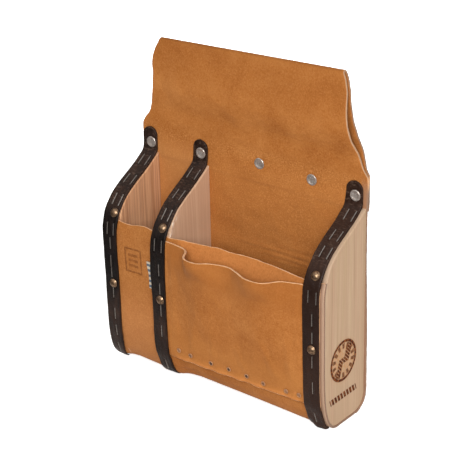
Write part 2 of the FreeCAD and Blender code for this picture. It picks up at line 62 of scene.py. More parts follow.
PANEL_END = 125.0        # outer faces of the two end panels, either side of x = 0
PANELS_X = ((-125, -110), (-64.7, -49.7), (110, 125))
SUEDE = 2.0
POCKET_SUEDE = 1.95
FRONT_TOP = 150.6        # upper edge of the front wall
FIT = 0.05               # gap between touching layers

STRAP_WIDTH = 16.4
STRAP_THICK = 2.3
STRAP_FOOT = 0.7         # thickness of the thinned lower end
STAPLE = 11.8            # crown of a staple
NAIL = 4.3               # radius of a dome nail
RIVET = 5.2              # radius of a strap rivet

POCKET_BOTTOM = 28.0
# (x, z) of the rivets along the pocket's lower edge
POCKET_RIVETS = ((-38.9, 37.4), (-25.0, 36.0), (-0.9, 35.5), (20.0, 36.0),
                 (40.4, 35.3), (59.2, 33.6), (84.8, 34.0), (99.1, 34.8))
# (x, z) of the two rivets through the belt loop's lower end
LOOP_RIVETS = ((8.75, 215.5), (66.84, 213.5))

# front edge of a wooden panel as (y, z), from the rear top down to the base
WOOD_EDGE = [(0.0, 199.6), (-5.6, 196.1), (-12.8, 191.2), (-19.2, 187.5),
             (-25.4, 184.2), (-31.7, 180.9), (-40.9, 175.6), (-49.1, 169.8),
             (-55.0, 163.0), (-58.5, 156.2), (-60.3, 150.1), (-62.3, 143.6),
             (-63.1, 136.0), (-63.2, 120.0), (-63.2, 100.0), (-63.2, 78.0),
             (-63.2, 62.0), (-63.0, 50.0), (-62.7, 43.0), (-62.0, 35.0),
             (-60.9, 27.5), (-59.1, 19.4), (-56.2, 12.0), (-52.2, 5.7),
             (-48.0, 2.9), (-43.5, 2.0)]


# --------------------------------------------------------------------------
# numeric helpers
# --------------------------------------------------------------------------
def in_frame(points):
    """Points in mm from the rear plane, to metres in the part's frame."""
    moved = np.array(points, float)
    moved[..., 1] += REAR_Y
    return moved * MM


def step(start, end, v):
    """0 at start, 1 at end, smooth between (start may be larger than end)."""
    t = np.clip((np.asarray(v, float) - start) / (end - start), 0.0, 1.0)
    return t * t * (3 - 2 * t)


def band(v, rise_from, rise_to, fall_from, fall_to):
    """0 outside, 1 in the middle, smooth at both ends."""
    return step(rise_from, rise_to, v) * (1 - step(fall_from, fall_to, v))


def bump(v, centre, width):
    return np.exp(-((np.asarray(v, float) - centre) / width) ** 2)


def blur(values, kernel, axis=-1):
    """Average along an axis with an odd kernel; the end values carry on."""
    kernel = kernel / kernel.sum()
    pad = len(kernel) // 2
    return np.apply_along_axis(
        lambda line: np.convolve(np.pad(line, pad, "edge"), kernel, "valid"), axis, values)


def noise(x, y, seed):
    """Smooth value noise on a repeating 64 x 64 lattice, about -1..1."""
    x, y = np.broadcast_arrays(np.asarray(x, float), np.asarray(y, float))
    table = np.random.RandomState(seed).uniform(-1, 1, (64, 64))
    cell_x, cell_y = np.floor(x).astype(int), np.floor(y).astype(int)

    def ease(t):
        return t * t * t * (t * (t * 6 - 15) + 10)

    def at(i, j):
        return table[(cell_x + i) % 64, (cell_y + j) % 64]

    part_x, part_y = ease(x - cell_x), ease(y - cell_y)
    near = at(0, 0) * (1 - part_x) + at(1, 0) * part_x
    far = at(0, 1) * (1 - part_x) + at(1, 1) * part_x
    return near * (1 - part_y) + far * part_y


def fractal(x, y, seed, octaves):
    """Noise at several scales, each half as large and half as strong."""
    total = 0.0
    for k in range(octaves):
        total = total + 0.5 ** k * noise(x * 2 ** k + 7.3 * k, y * 2 ** k + 3.1 * k, seed + k)
    return total


def catmull(points, steps):
    """Centripetal curve through the points, `steps` pieces to each span."""
    dense = []
    last = len(points) - 1
    for i in range(last):
        corners = [points[k] for k in (max(i - 1, 0), i, i + 1, min(i + 2, last))]
        gap1, gap2, gap3 = (math.dist(p, q) ** 0.5 or 1.0 for p, q in zip(corners, corners[1:]))
        for k in range(steps):
            t = k / steps
            from_start = 2 * t ** 3 - 3 * t ** 2 + 1
            leaving = t ** 3 - 2 * t ** 2 + t
            from_end = -2 * t ** 3 + 3 * t ** 2
            arriving = t ** 3 - t ** 2
            spot = []
            for a, b, c, d in zip(*corners):
                slope_b = slope_c = c - b
                if i > 0:
                    slope_b = gap2 * ((b - a) / gap1 - (c - a) / (gap1 + gap2) + (c - b) / gap2)
                if i < last - 1:
                    slope_c = gap2 * ((c - b) / gap2 - (d - b) / (gap2 + gap3) + (d - c) / gap3)
                spot.append(from_start * b + leaving * slope_b
                            + from_end * c + arriving * slope_c)
            dense.append(tuple(spot))
    dense.append(tuple(points[-1]))
    return dense


def offset(points, dist):
    """Offset a polyline to its left by a number, or one number per point."""
    line = np.array(points, float)
    along = np.vstack([line[1:], line[-1:]]) - np.vstack([line[:1], line[:-1]])
    along /= np.linalg.norm(along, axis=1)[:, None]
    left = np.stack([-along[:, 1], along[:, 0]], 1)
    return line + left * np.broadcast_to(np.asarray(dist, float), (len(line),))[:, None]


def interp_rows(at, known, rows):
    """Interpolate every column of `rows`, known at `known`, at `at`."""
    return np.stack([np.interp(at, known, column) for column in rows.T], 1)


def resample(path, spacing, turn):
    """Even points along a polyline, closer together where it turns."""
    path = np.array(path, float)
    pieces = np.diff(path, axis=0)
    length = np.linalg.norm(pieces, axis=1)
    heading = pieces / length[:, None]
    angle = np.zeros(len(length))
    angle[1:] = np.arccos(np.clip((heading[1:] * heading[:-1]).sum(1), -1, 1))
    weight = np.concatenate([[0], np.cumsum(length / spacing + angle / turn)])
    count = int(round(weight[-1])) + 1
    return interp_rows(np.linspace(0, weight[-1], count), weight, path)


EDGE = np.array(catmull(WOOD_EDGE, 4))


def front_y(z, out):
    """y of the layer `out` in front of the panel edge, at height z."""
    layer = offset(EDGE, -out)
    layer = layer[layer[:, 1] < 156.0]
    order = np.argsort(layer[:, 1])
    return np.interp(z, layer[order, 1], layer[order, 0])


# --------------------------------------------------------------------------
# mesh helpers
# --------------------------------------------------------------------------
def new_object(name, verts, faces, materials, material_ids=None):
    mesh = bpy.data.meshes.new(name)
    mesh.from_pydata([tuple(v) for v in verts], [], [tuple(f) for f in faces])
    mesh.update()
    for material in materials:
        mesh.materials.append(material)
    if material_ids is not None:
        mesh.polygons.foreach_set("material_index", np.asarray(material_ids, np.int32))
    mesh.polygons.foreach_set("use_smooth", np.full(len(mesh.polygons), True))
    ob = bpy.data.objects.new(name, mesh)
    bpy.context.scene.collection.objects.link(ob)
    return ob


def face_outwards(ob):
    bm = bmesh.new()
    bm.from_mesh(ob.data)
    bmesh.ops.recalc_face_normals(bm, faces=bm.faces)
    bm.to_mesh(ob.data)
    bm.free()


def grid_normals(grid):
    normal = np.cross(np.gradient(grid, axis=0), np.gradient(grid, axis=1))
    length = np.linalg.norm(normal, axis=2)[..., None]
    return normal / np.maximum(length, 1e-9)


def sheet(name, middle, thick, seed, shade):
    """Closed leather sheet from a grid of middle points middle[i, j] in mm.

    Material 0 is the +normal face, 1 the other face, 2 the cut edge, which is
    slightly rounded and uneven, as a knife leaves it.  `shade` is kept on the
    mesh as a point attribute: above 0 it is painted shade, below 0 pale leather
    and, in places, painted highlight.
    """
    chamfer, unevenness = 0.35, 0.12
    rows, cols = middle.shape[:2]
    count = rows * cols
    normal = grid_normals(middle)
    index = np.arange(count).reshape(rows, cols)
    top = np.stack([index[:-1, :-1], index[1:, :-1], index[1:, 1:], index[:-1, 1:]],
                   -1).reshape(-1, 4)
    faces = top.tolist() + (top[:, ::-1] + count).tolist()
    ids = [0] * len(top) + [1] * len(top)

    # the border, walked once round
    loop = ([(i, 0) for i in range(rows)] + [(rows - 1, j) for j in range(1, cols)]
            + [(i, cols - 1) for i in range(rows - 2, -1, -1)]
            + [(0, j) for j in range(cols - 2, 0, -1)])
    around = len(loop)
    draws = np.random.RandomState(seed).normal(0, 1, around)
    jitter = np.convolve(np.tile(draws, 3), np.ones(3) / 3, "same")[around:2 * around]
    rim_top, rim_bottom, rails = [], [], []
    for k, (i, j) in enumerate(loop):
        # away from the neighbour further in, which is index 1 or the last but one
        out = np.zeros(3)
        if i in (0, rows - 1):
            out += middle[i, j] - middle[abs(i - 1), j]
        if j in (0, cols - 1):
            out += middle[i, j] - middle[i, abs(j - 1)]
        out /= max(np.linalg.norm(out), 1e-9)
        push = chamfer + unevenness * jitter[k]
        rise = normal[i, j] * (thick / 2 - chamfer * 0.8)
        rim_top.append(middle[i, j] + rise + out * push)
        rim_bottom.append(middle[i, j] - rise + out * (push + unevenness * 0.6))
        corner = i * cols + j
        rails.append((corner, 2 * count + k, 2 * count + around + k, count + corner))
    for k in range(around):
        here, there = rails[k], rails[(k + 1) % around]
        faces += [[here[r], here[r + 1], there[r + 1], there[r]] for r in range(3)]
        ids += [2, 2, 2]

    verts = in_frame(np.vstack([(middle + normal * thick / 2).reshape(-1, 3),
                                (middle - normal * thick / 2).reshape(-1, 3),
                                rim_top, rim_bottom]))
    ob = new_object(name, verts, faces, SUEDE_MATERIALS, ids)
    face_outwards(ob)
    values = np.zeros(len(verts), np.float32)
    values[:count] = values[count:2 * count] = shade.reshape(-1)
    ob.data.attributes.new("painted_shade_and_pale", "FLOAT", "POINT").data.foreach_set("value", values)
    return ob


def swept(name, rings, material):
    """Closed tube from a list of equal rings of points in mm."""
    rings = np.array(rings, float)
    count, around = rings.shape[:2]
    faces = []
    for i in range(count - 1):
        for j in range(around):
            k = (j + 1) % around
            faces.append([i * around + j, i * around + k,
                          (i + 1) * around + k, (i + 1) * around + j])
    faces.append(list(range(around))[::-1])
    faces.append([(count - 1) * around + j for j in range(around)])
    ob = new_object(name, in_frame(rings.reshape(-1, 3)), faces, [material])
    face_outwards(ob)
    return ob


def on_case(ob, node):
    """Put the object in place of a CAD piece that moves with the case."""
    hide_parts(node)
    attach(ob, "case")


# --------------------------------------------------------------------------
# material helpers: expressions that build shader nodes
# --------------------------------------------------------------------------
def connect(tree, value, socket):
    """Link a Value or a socket; anything else becomes the socket's constant."""
    if isinstance(value, Value):
        value = value.socket
    if isinstance(value, bpy.types.NodeSocket):
        tree.links.new(value, socket)
    else:
        socket.default_value = value


def add_node(tree, kind, inputs=(), **settings):
    """New shader node; `inputs` maps socket names or numbers to values."""
    node = tree.nodes.new("ShaderNode" + kind)
    for key, value in settings.items():
        setattr(node, key, value)
    for key, value in dict(inputs).items():
        connect(tree, value, node.inputs[key])
    return node


def split_xyz(tree, socket):
    node = add_node(tree, "SeparateXYZ", {0: socket})
    return [Value(tree, output) for output in node.outputs]


class Value:
    """A socket of a shader tree that can be used in arithmetic."""

    def __init__(self, tree, socket):
        self.tree = tree
        self.socket = socket

    def math(self, operation, *others, clamp=False):
        node = add_node(self.tree, "Math", enumerate((self,) + others),
                        operation=operation, use_clamp=clamp)
        return Value(self.tree, node.outputs[0])

    def __add__(self, other):
        return self.math("ADD", other)

    def __sub__(self, other):
        return self.math("SUBTRACT", other)

    def __rsub__(self, other):
        return (self * -1.0) + other

    def __mul__(self, other):
        return self.math("MULTIPLY", other)

    def abs(self):
        return self.math("ABSOLUTE")

    def sqrt(self):
        return self.math("SQRT")

    def fract(self):
        return self.math("FRACT")

    def floor(self):
        return self.math("FLOOR")

    def max(self, other):
        return self.math("MAXIMUM", other)

    def above(self, other):
        return self.math("GREATER_THAN", other)

    def below(self, other):
        return self.math("LESS_THAN", other)

    def clamp(self):
        return self.math("ADD", 0.0, clamp=True)

    def atan2(self, other):
        return self.math("ARCTAN2", other)

    def zigzag(self):
        """0 in the middle of each whole unit, 0.5 at its ends."""
        return (self.fract() - 0.5).abs()

    def smooth(self, start, end, out_start=0.0, out_end=1.0):
        """out_start up to start, out_end from end on (start may be larger)."""
        if start > end:
            start, end, out_start, out_end = end, start, out_end, out_start
        node = add_node(self.tree, "MapRange",
                        {"Value": self, "From Min": start, "From Max": end,
                         "To Min": out_start, "To Max": out_end},
                        interpolation_type="SMOOTHSTEP")
        return Value(self.tree, node.outputs[0])


def srgb(colour):
    """Linear RGBA from a tuple of 0..255 sRGB values."""
    def linear(c):
        c = c / 255.0
        return c / 12.92 if c <= 0.04045 else ((c + 0.055) / 1.055) ** 2.4
    return (*map(linear, colour), 1.0)


class Surface:
    """Principled material with helpers for procedural detail.

    Sizes and heights are in mm, colours are 0..255 sRGB tuples or sockets.
    `colour` is the base colour so far; tint() lays another colour over it.
    """

    def __init__(self, name):
        self.material = bpy.data.materials.new(name)
        self.material.use_nodes = True
        self.tree = self.material.node_tree
        self.tree.nodes.clear()
        self.shader = self.add("BsdfPrincipled")
        self.add("OutputMaterial", {0: self.shader.outputs[0]})
        coords = self.add("TexCoord").outputs["Object"]
        self.position = self.add("VectorMath", {0: coords, "Scale": 1 / MM},
                                 operation="SCALE").outputs[0]
        self.colour = None

    def add(self, kind, inputs=(), **settings):
        return add_node(self.tree, kind, inputs, **settings)

    def axes(self):
        """x, y and z in mm, with y from the rear plane."""
        x, y, z = split_xyz(self.tree, self.position)
        return x, y - REAR_Y, z

    def scaled(self, size):
        """Position divided by a feature size: one number, or one per axis."""
        factors = [1 / float(side) for side in np.broadcast_to(size, 3)]
        return self.add("VectorMath", {0: self.position, 1: factors},
                        operation="MULTIPLY").outputs[0]

    def noise(self, size=1.0, detail=2.0, rough=0.5, warp=0.0, at=None):
        """Noise of a feature size, or at a place given by three Values."""
        if at:
            vector = self.add("CombineXYZ", enumerate(at)).outputs[0]
        else:
            vector = self.scaled(size)
        node = self.add("TexNoise", {"Vector": vector, "Scale": 1.0, "Detail": detail,
                                     "Roughness": rough, "Distortion": warp})
        return Value(self.tree, node.outputs[0])

    def cells(self, size):
        node = self.add("TexVoronoi", {"Vector": self.scaled(size), "Scale": 1.0,
                                       "Randomness": 1.0}, feature="F1")
        return Value(self.tree, node.outputs[0])

    def pointiness(self):
        """About 0.5 on flat ground, more on ridges, less in hollows."""
        return Value(self.tree, self.add("NewGeometry").outputs["Pointiness"])

    def ramp(self, value, stops):
        """Colour ramp from (position, colour) stops."""
        node = self.add("ValToRGB", {0: value})
        elements = node.color_ramp.elements
        while len(elements) > 1:
            elements.remove(elements[-1])
        elements[0].position = stops[0][0]
        elements[0].color = srgb(stops[0][1])
        for position, colour in stops[1:]:
            elements.new(position).color = srgb(colour)
        return node.outputs[0]

    def mix(self, mask, first, second):
        """first where the mask is 0, second where it is 1."""
        first, second = (srgb(c) if isinstance(c, tuple) else c for c in (first, second))
        return self.add("Mix", {0: mask, 6: first, 7: second},
                        data_type="RGBA", clamp_factor=True).outputs[2]

    def tint(self, colour, mask, amount=None):
        """Lay a colour over the base colour where the mask is 1."""
        if amount is not None:
            mask = mask * amount
        self.colour = self.mix(mask, self.colour, colour)

    def bump(self, height, depth, strength, under=None):
        """Relief of a 0..1 height, `depth` mm deep, over another relief."""
        inputs = {"Strength": strength, "Distance": depth * MM, "Height": height}
        if under is not None:
            inputs["Normal"] = under
        return self.add("Bump", inputs).outputs[0]

    def finish(self, **inputs):
        """Set the base colour and the other shader inputs; gives the material."""
        for key, value in {"Base_Color": self.colour, **inputs}.items():
            connect(self.tree, value, self.shader.inputs[key.replace("_", " ")])
        return self.material


# --------------------------------------------------------------------------
# suede
# --------------------------------------------------------------------------
SUEDE_LIGHT = (169, 109, 56)
SUEDE_MID = (155, 95, 44)
SUEDE_DEEP = (140, 81, 33)


def inner_tones_and_shading(mat, x, y, z):
    """Local tones of the inner face, with painted light deep in the pouch and painted shade up the
    belt loop.
    """
    # painted light: paler deeper in the pouch, where it lies in shade, most in the left bay
    mat.tint((182, 116, 60), z.smooth(228.0, 195.0), amount=0.30)
    mat.tint((186, 128, 76), z.smooth(228.0, 195.0) * x.smooth(-62.0, -70.0), amount=0.40)
    # painted shade: darker up the belt loop
    mat.tint((126, 74, 30), z.smooth(262.0, 300.0), amount=0.22)
    # dull margin over the right end panel
    side = x.smooth(118.6, 121.0, 0.0, 0.75).max(x.smooth(124.3, 124.9)) * z.smooth(232.0, 212.0)
    mat.tint((134, 102, 82), side, amount=0.95)


def blind_stamp(mat, x, z, front):
    """Slightly leaning frame with three bars on the front wall, left bay."""
    across = (x + 92.4 + (z - 115.0) * 0.04).abs()
    upright = (z - 115.0).abs()
    wobble = (mat.noise(2.2) - 0.5) * 1.2
    box = (across - 9.2).max(upright - 11.6) + wobble      # 0 on the frame line
    frame_line = box.abs().smooth(1.25, 0.45)
    inside = box.below(-2.6)
    bars = ((z - 115.0) * 0.19 + 0.5).zigzag().smooth(0.32, 0.20)
    bar_length = across.smooth(6.2, 5.2)
    stamp = frame_line.max(inside * bars * bar_length * 0.85) * front
    fade = mat.noise(4, detail=3, rough=0.6).smooth(0.34, 0.60, 0.55, 1.0)
    return (stamp * fade).clamp()


def outer_tones_and_shading(mat, x, y, z):
    """Local tones of the outer face, with painted shade beside the right strap; gives the mask of
    the blind stamp.
    """
    front = y.below(-55.0)
    stamp = blind_stamp(mat, x, z, front)
    mat.tint((104, 56, 22), stamp, amount=0.86)
    # darker left bay, paler low on the pocket
    mat.tint((126, 76, 34), x.below(-60.0) * front * z.smooth(60.0, 90.0), amount=0.28)
    mat.tint((174, 114, 58), x.above(-49.0) * y.below(-64.0) * z.smooth(75.0, 45.0), amount=0.40)
    # rubbed paler low on the left, a little darker round the pocket mouth
    mat.tint((176, 118, 72), z.smooth(100.0, 50.0) * x.below(-60.0) * y.below(-45.0), amount=0.45)
    mat.tint((142, 84, 36), z.smooth(108.0, 132.0) * x.above(-49.0) * y.below(-64.5), amount=0.55)
    # margin beyond the right strap: tan, with painted shade next to the strap fading outwards
    margin = x.smooth(120.2, 121.2) * y.below(-30.0)
    mat.tint(mat.mix(x.smooth(121.0, 125.0), (138, 110, 92), (170, 143, 122)), margin, amount=0.9)
    return stamp


def suede(name, oiled, local_tones_and_shading):
    """Napped split leather: fine fibre grain and soft clouds, no direction."""
    mat = Surface(name)
    x, y, z = mat.axes()
    clouds = mat.noise((52, 52, 40), warp=0.5)
    patches = mat.noise((15, 15, 12), detail=3, rough=0.6, warp=0.3)
    grain = mat.noise((1.5, 1.5, 1.9), detail=4, rough=0.72, warp=0.3)
    hair = mat.noise((1.1, 1.1, 1.7), detail=3, rough=0.7, warp=0.6)
    fleck = mat.noise((3.2, 3.2, 2.2), detail=5, rough=0.8, warp=0.5)
    grit = mat.noise(1.3, rough=0.6)
    tone = clouds * 0.42 + patches * 0.18 + grain * 0.40
    mat.colour = mat.ramp(tone, [(0.37, SUEDE_DEEP), (0.50, SUEDE_MID), (0.63, SUEDE_LIGHT)])
    # flecks and hairs, light and dark
    mat.tint(SUEDE_LIGHT, fleck.smooth(0.53, 0.70), amount=0.85)
    mat.tint(SUEDE_DEEP, fleck.smooth(0.46, 0.30), amount=0.85)
    mat.tint(SUEDE_LIGHT, hair.smooth(0.56, 0.70), amount=0.45)
    mat.tint(SUEDE_DEEP, hair.smooth(0.44, 0.30), amount=0.55)
    # grit, stronger inside the pouch and in the left bay
    inside_pouch = z.below(228.0) * y.above(-12.0)
    coarse = inside_pouch * 0.22 + y.below(-12.0) * x.below(-60.0) * 0.16 + 0.16
    mat.tint((202, 140, 82), grit.smooth(0.53, 0.66) * coarse)
    mat.tint((108, 56, 20), grit.smooth(0.47, 0.34) * coarse)
    # ridges rubbed paler; painted shade in the hollows
    point = mat.pointiness()
    mat.tint(SUEDE_LIGHT, point.smooth(0.52, 0.57), amount=0.30)
    mat.tint(SUEDE_DEEP, point.smooth(0.480, 0.43), amount=0.40)
    # painted shade above 0 (creases, under the pocket's edge, round its rivets); pale below 0
    # (painted highlight on the pocket's lower edge and beside its rivets, paler leather behind the
    # pocket)
    painted_shade_and_pale = Value(mat.tree, mat.add("Attribute", attribute_name="painted_shade_and_pale").outputs["Fac"])
    mat.tint((112, 62, 26), (painted_shade_and_pale * (grain * 0.7 + 0.55)).clamp(), amount=0.75)
    mat.tint((198, 126, 68), (painted_shade_and_pale * -1.0 * (fleck * 1.5 + grain * 1.2 - 0.35)).clamp())
    stamp = local_tones_and_shading(mat, x, y, z)
    normal = mat.bump(hair * 0.40 + grain * 0.45 + fleck * 0.15, depth=0.24, strength=0.6)
    normal = mat.bump(patches, depth=0.8, strength=0.25, under=normal)
    if stamp is not None:
        normal = mat.bump(1.0 - stamp, depth=0.35, strength=0.7, under=normal)
    return mat.finish(Roughness=0.92 - 0.2 * oiled, Normal=normal, Sheen_Weight=0.05,
                      Sheen_Roughness=0.5, Sheen_Tint=(1.0, 0.72, 0.45, 1),
                      Specular_IOR_Level=0.10 + 0.15 * oiled)


def cut_edge():
    """Pale fibrous edge of the cut suede."""
    mat = Surface("suede_cut_edge")
    x, y, z = mat.axes()
    fibre = mat.noise(0.5, detail=4, rough=0.7, warp=0.4)
    slow = mat.noise(9, detail=3)
    mat.colour = mat.ramp(fibre * 0.6 + slow * 0.4, [
        (0.30, (182, 128, 82)), (0.48, (214, 162, 116)), (0.66, (234, 190, 146))])
    # the ends over the end panels and the rear edges higher up are dull
    dull = mat.ramp(fibre, [(0.35, (118, 88, 68)), (0.65, (156, 124, 100))])
    mat.tint(dull, x.abs().smooth(123.4, 124.6) * z.smooth(226.0, 212.0))
    mat.tint(dull, z.smooth(226.0, 232.0) * y.smooth(-0.5, 1.5, 0.62, 0.98))
    return mat.finish(Roughness=0.95, Normal=mat.bump(fibre, depth=0.35, strength=0.8),
                      Sheen_Weight=0.15, Specular_IOR_Level=0.15)


# --------------------------------------------------------------------------
# strap leather
# --------------------------------------------------------------------------
def strap_leather():
    """Dyed belt leather, nearly black, worn on its ridges; a painted reflection makes it lighter
    on the slope and low down.
    """
    mat = Surface("strap_leather")
    x, _, z = mat.axes()
    streak = mat.noise((1.3, 8, 12), detail=5, rough=0.65, warp=0.6)
    broad = mat.noise((12, 16, 20), detail=3, warp=0.2)
    pebble = mat.cells(0.8)
    fine = mat.noise(0.4, detail=3, rough=0.6)
    mat.colour = mat.ramp(streak * 0.6 + broad * 0.4, [
        (0.36, (8, 5, 4)), (0.50, (16, 10, 8)), (0.66, (32, 21, 16))])
    painted_sheen_tone = mat.ramp(streak * 0.6 + broad * 0.4, [
        (0.36, (30, 18, 12)), (0.50, (50, 32, 23)), (0.66, (78, 54, 41))])
    # painted reflection: lighter low down, where the strap mirrors the floor, and on the slope,
    # which faces the light overhead; darkest on the upright part
    mat.tint(painted_sheen_tone, (z.smooth(92.0, 58.0) * 0.50).max(z.smooth(150.0, 166.0) * 0.42))
    # the middle strap stays darker at its foot, the right one is browner
    middle_foot = z.smooth(58.0, 40.0) * x.below(0.0) * x.above(-75.0)
    mat.tint((22, 11, 6), middle_foot, amount=0.55)
    mat.tint((48, 27, 17), x.above(90.0), amount=0.45)
    # worn ridges, cracks on the slope with real relief and a pale painted highlight, long
    # scratches
    worn = mat.pointiness().smooth(0.53, 0.60) * streak.smooth(0.35, 0.6)
    mat.tint((92, 66, 48), worn, amount=0.45)
    crack = mat.noise((4.5, 1.5, 1.5), detail=4, rough=0.65, warp=0.6).smooth(0.52, 0.68)
    mat.tint((92, 72, 60), crack * z.smooth(158.0, 170.0), amount=0.60)
    scratch = mat.noise((0.35, 6, 9), warp=0.3).smooth(0.66, 0.76)
    mat.tint((84, 62, 48), scratch, amount=0.40)
    normal = mat.bump(pebble * 0.5 + fine * 0.5, depth=0.14, strength=0.7)
    normal = mat.bump(streak, depth=0.5, strength=0.35, under=normal)
    normal = mat.bump(crack, depth=0.25, strength=0.5, under=normal)
    return mat.finish(Roughness=streak.smooth(0.3, 0.7, 0.34, 0.62), Normal=normal,
                      Specular_IOR_Level=0.15)


# --------------------------------------------------------------------------
# wood
# --------------------------------------------------------------------------
def softwood(mat, x, y, z):
    """Sawn fir: fine upright lines, pores, a few streaks; gives the relief."""
    warp = mat.noise((40, 40, 150))
    # distance across the rings: mostly along the depth, slightly tilted
    across = y * 1.0 + x * 0.35 + (warp - 0.5) * 9.0 + z * 0.010
    wide = mat.noise(at=(across * 0.055, x * 0.02, z * 0.0022))
    line = mat.noise(at=(across * 0.62, x * 0.08, z * 0.0035), detail=3, rough=0.6)
    fine = mat.noise(at=(across * 2.3, x * 0.9, z * 0.02), detail=4, rough=0.65)
    pores = mat.noise((0.30, 0.30, 7.0), detail=3, rough=0.6, warp=0.2)
    tone = wide * 0.24 + line * 0.36 + fine * 0.40
    mat.colour = mat.ramp(tone, [(0.36, (164, 131, 101)), (0.45, (179, 148, 119)),
                                 (0.53, (188, 158, 129)), (0.64, (202, 174, 145))])
    # darker late wood
    mat.tint((164, 126, 98), line.smooth(0.55, 0.66), amount=0.30)
    # yellowish, pinkish and greenish streaks: frequency across the rings and
    # its shift, frequency along x and z, noise limits, amount, colour
    for pitch, shift, along_x, along_z, low, high, amount, colour in (
            (0.13, 4.0, 0.01, 0.004, 0.58, 0.72, 0.45, (192, 152, 108)),
            (0.42, 9.0, 0.02, 0.006, 0.52, 0.66, 0.28, (196, 154, 130)),
            (0.36, 21.0, 0.02, 0.005, 0.54, 0.68, 0.28, (182, 158, 118))):
        streak = mat.noise(at=(across * pitch + shift, x * along_x, z * along_z))
        mat.tint(colour, streak.smooth(low, high), amount)
    # faces inside the compartments: rosy in the left bay, pale to the right
    inside = x.below(111.0) * x.above(-124.0)
    rosy = mat.ramp(tone, [(0.36, (172, 120, 82)), (0.48, (196, 145, 107)),
                           (0.60, (216, 168, 128))])
    pale = mat.ramp(tone, [(0.36, (184, 147, 118)), (0.48, (193, 155, 126)),
                           (0.60, (203, 168, 139))])
    mat.tint(mat.mix(x.above(-70.0), rosy, pale), inside, amount=0.95)
    # close lines, strong only in the left bay
    rib = mat.noise(at=(across * 1.15, x * 0.2, z * 0.004)).smooth(0.50, 0.60)
    mat.tint((140, 94, 70), inside * rib * x.above(-70.0).smooth(0.0, 1.0, 0.55, 0.05))
    # painted shade on the forward-facing edge of the right panel, darkest next to the strap
    facing = split_xyz(mat.tree, mat.add("NewGeometry").outputs["Normal"])
    forward = (facing[1] * -1.0).smooth(0.25, 0.6)
    edge = mat.mix(x.smooth(118.5, 124.5), (136, 112, 94), (176, 150, 126))
    mat.tint(edge, forward * x.above(111.0), amount=0.85)
    mat.tint((150, 112, 84), pores.smooth(0.63, 0.73), amount=0.22)
    return mat.bump(line * 0.45 + fine * 0.35 + pores * 0.2, depth=0.20, strength=0.5)


def torn_fibres(mat, x, y, z):
    """Mask of torn fibres by the front edge of the divider, on its right face."""
    from_edge = y + 62.3 - (z - 143.6) * 0.30 - (z - 158.0).max(0.0) * 0.45
    slant = mat.noise(at=((y - z * 0.42) * 0.95, x * 0.1, (z + y * 0.42) * 0.10),
                      detail=3, rough=0.6)
    return (slant.smooth(0.48, 0.58) * (from_edge + slant * 7.0).smooth(11.5, 5.5)
            * z.smooth(146.0, 150.0) * z.smooth(170.0, 161.0)
            * x.above(-50.2) * x.below(-49.0))


def burned_mark(mat, x, y, z):
    """Brand on the outer face of the right end panel.

    A ring round a zig-zag bolt with rays, and a row of bars below it.  Gives
    the masks of the mark and of the scorched halo, and the mottling noise.
    """
    forward_of_rear, ring_z, row_z = 34.0, 64.0, 28.6       # where the mark sits
    ring_radius, ray_radius, ray_count = 19.0, 14.6, 14
    face = x.above(124.2)
    u = y + forward_of_rear
    v = z - ring_z
    wobble = (mat.noise(2.0, detail=3, rough=0.6) - 0.5) * 1.3
    radius = (u * u + v * v).sqrt() + wobble * 0.5
    ring = (radius - ring_radius).abs().smooth(1.75, 0.95)
    # zig-zag bolt: two slanted, hatched bars joined in the middle
    slanted = u - v * 0.36
    upper = ((slanted - 4.8 + wobble).abs().smooth(4.9, 4.1)
             * v.smooth(-3.4, -2.4) * v.smooth(14.8, 13.6))
    lower = ((slanted + 3.6 + wobble).abs().smooth(4.1, 3.3)
             * v.smooth(3.4, 2.4) * v.smooth(-15.2, -14.0))
    hatch = ((u + v) * 0.26).zigzag().smooth(0.10, 0.20, 0.30, 1.0)
    bolt = upper.max(lower) * hatch
    # rays between the ring and the bolt
    ray = (v.atan2(u) * (ray_count / (2 * math.pi))).zigzag().smooth(0.32, 0.20)
    rays = (radius - ray_radius).abs().smooth(3.0, 2.2) * ray * 0.85
    # row of slanted bars under the ring
    along = y + forward_of_rear + (z - row_z) * 0.35
    bars = (along * 0.215).zigzag().smooth(0.39, 0.29)
    tall = (z - row_z + wobble * 0.3).abs().smooth(3.6, 2.9)
    row = bars * tall * along.abs().smooth(21.0, 20.4)
    mark = ring.max(bolt).max(rays).max(row) * face
    mottled = mat.noise((1.6, 1.6, 3.0), detail=4, rough=0.65)
    mark = (mark * mottled.smooth(0.26, 0.42, 0.70, 1.0)).clamp()
    halo = ((radius - 12.0).smooth(12.0, 3.0) * 0.62).max(row * 0.35) * face
    return mark, halo, mottled


def panel_wood():
    mat = Surface("softwood")
    axes = mat.axes()
    normal = softwood(mat, *axes)
    torn = torn_fibres(mat, *axes)
    mat.tint((232, 214, 196), torn, amount=0.85)
    normal = mat.bump(torn, depth=0.30, strength=0.8, under=normal)
    mark, halo, mottled = burned_mark(mat, *axes)
    mat.tint((190, 128, 68), halo * mottled.smooth(0.36, 0.58))
    mat.tint(mat.ramp(mottled, [(0.38, (148, 80, 26)), (0.48, (98, 44, 8)),
                                (0.58, (56, 20, 2))]), mark)
    normal = mat.bump(1.0 - mark, depth=0.45, strength=0.8, under=normal)
    return mat.finish(Roughness=0.72, Normal=normal, Specular_IOR_Level=0.18)


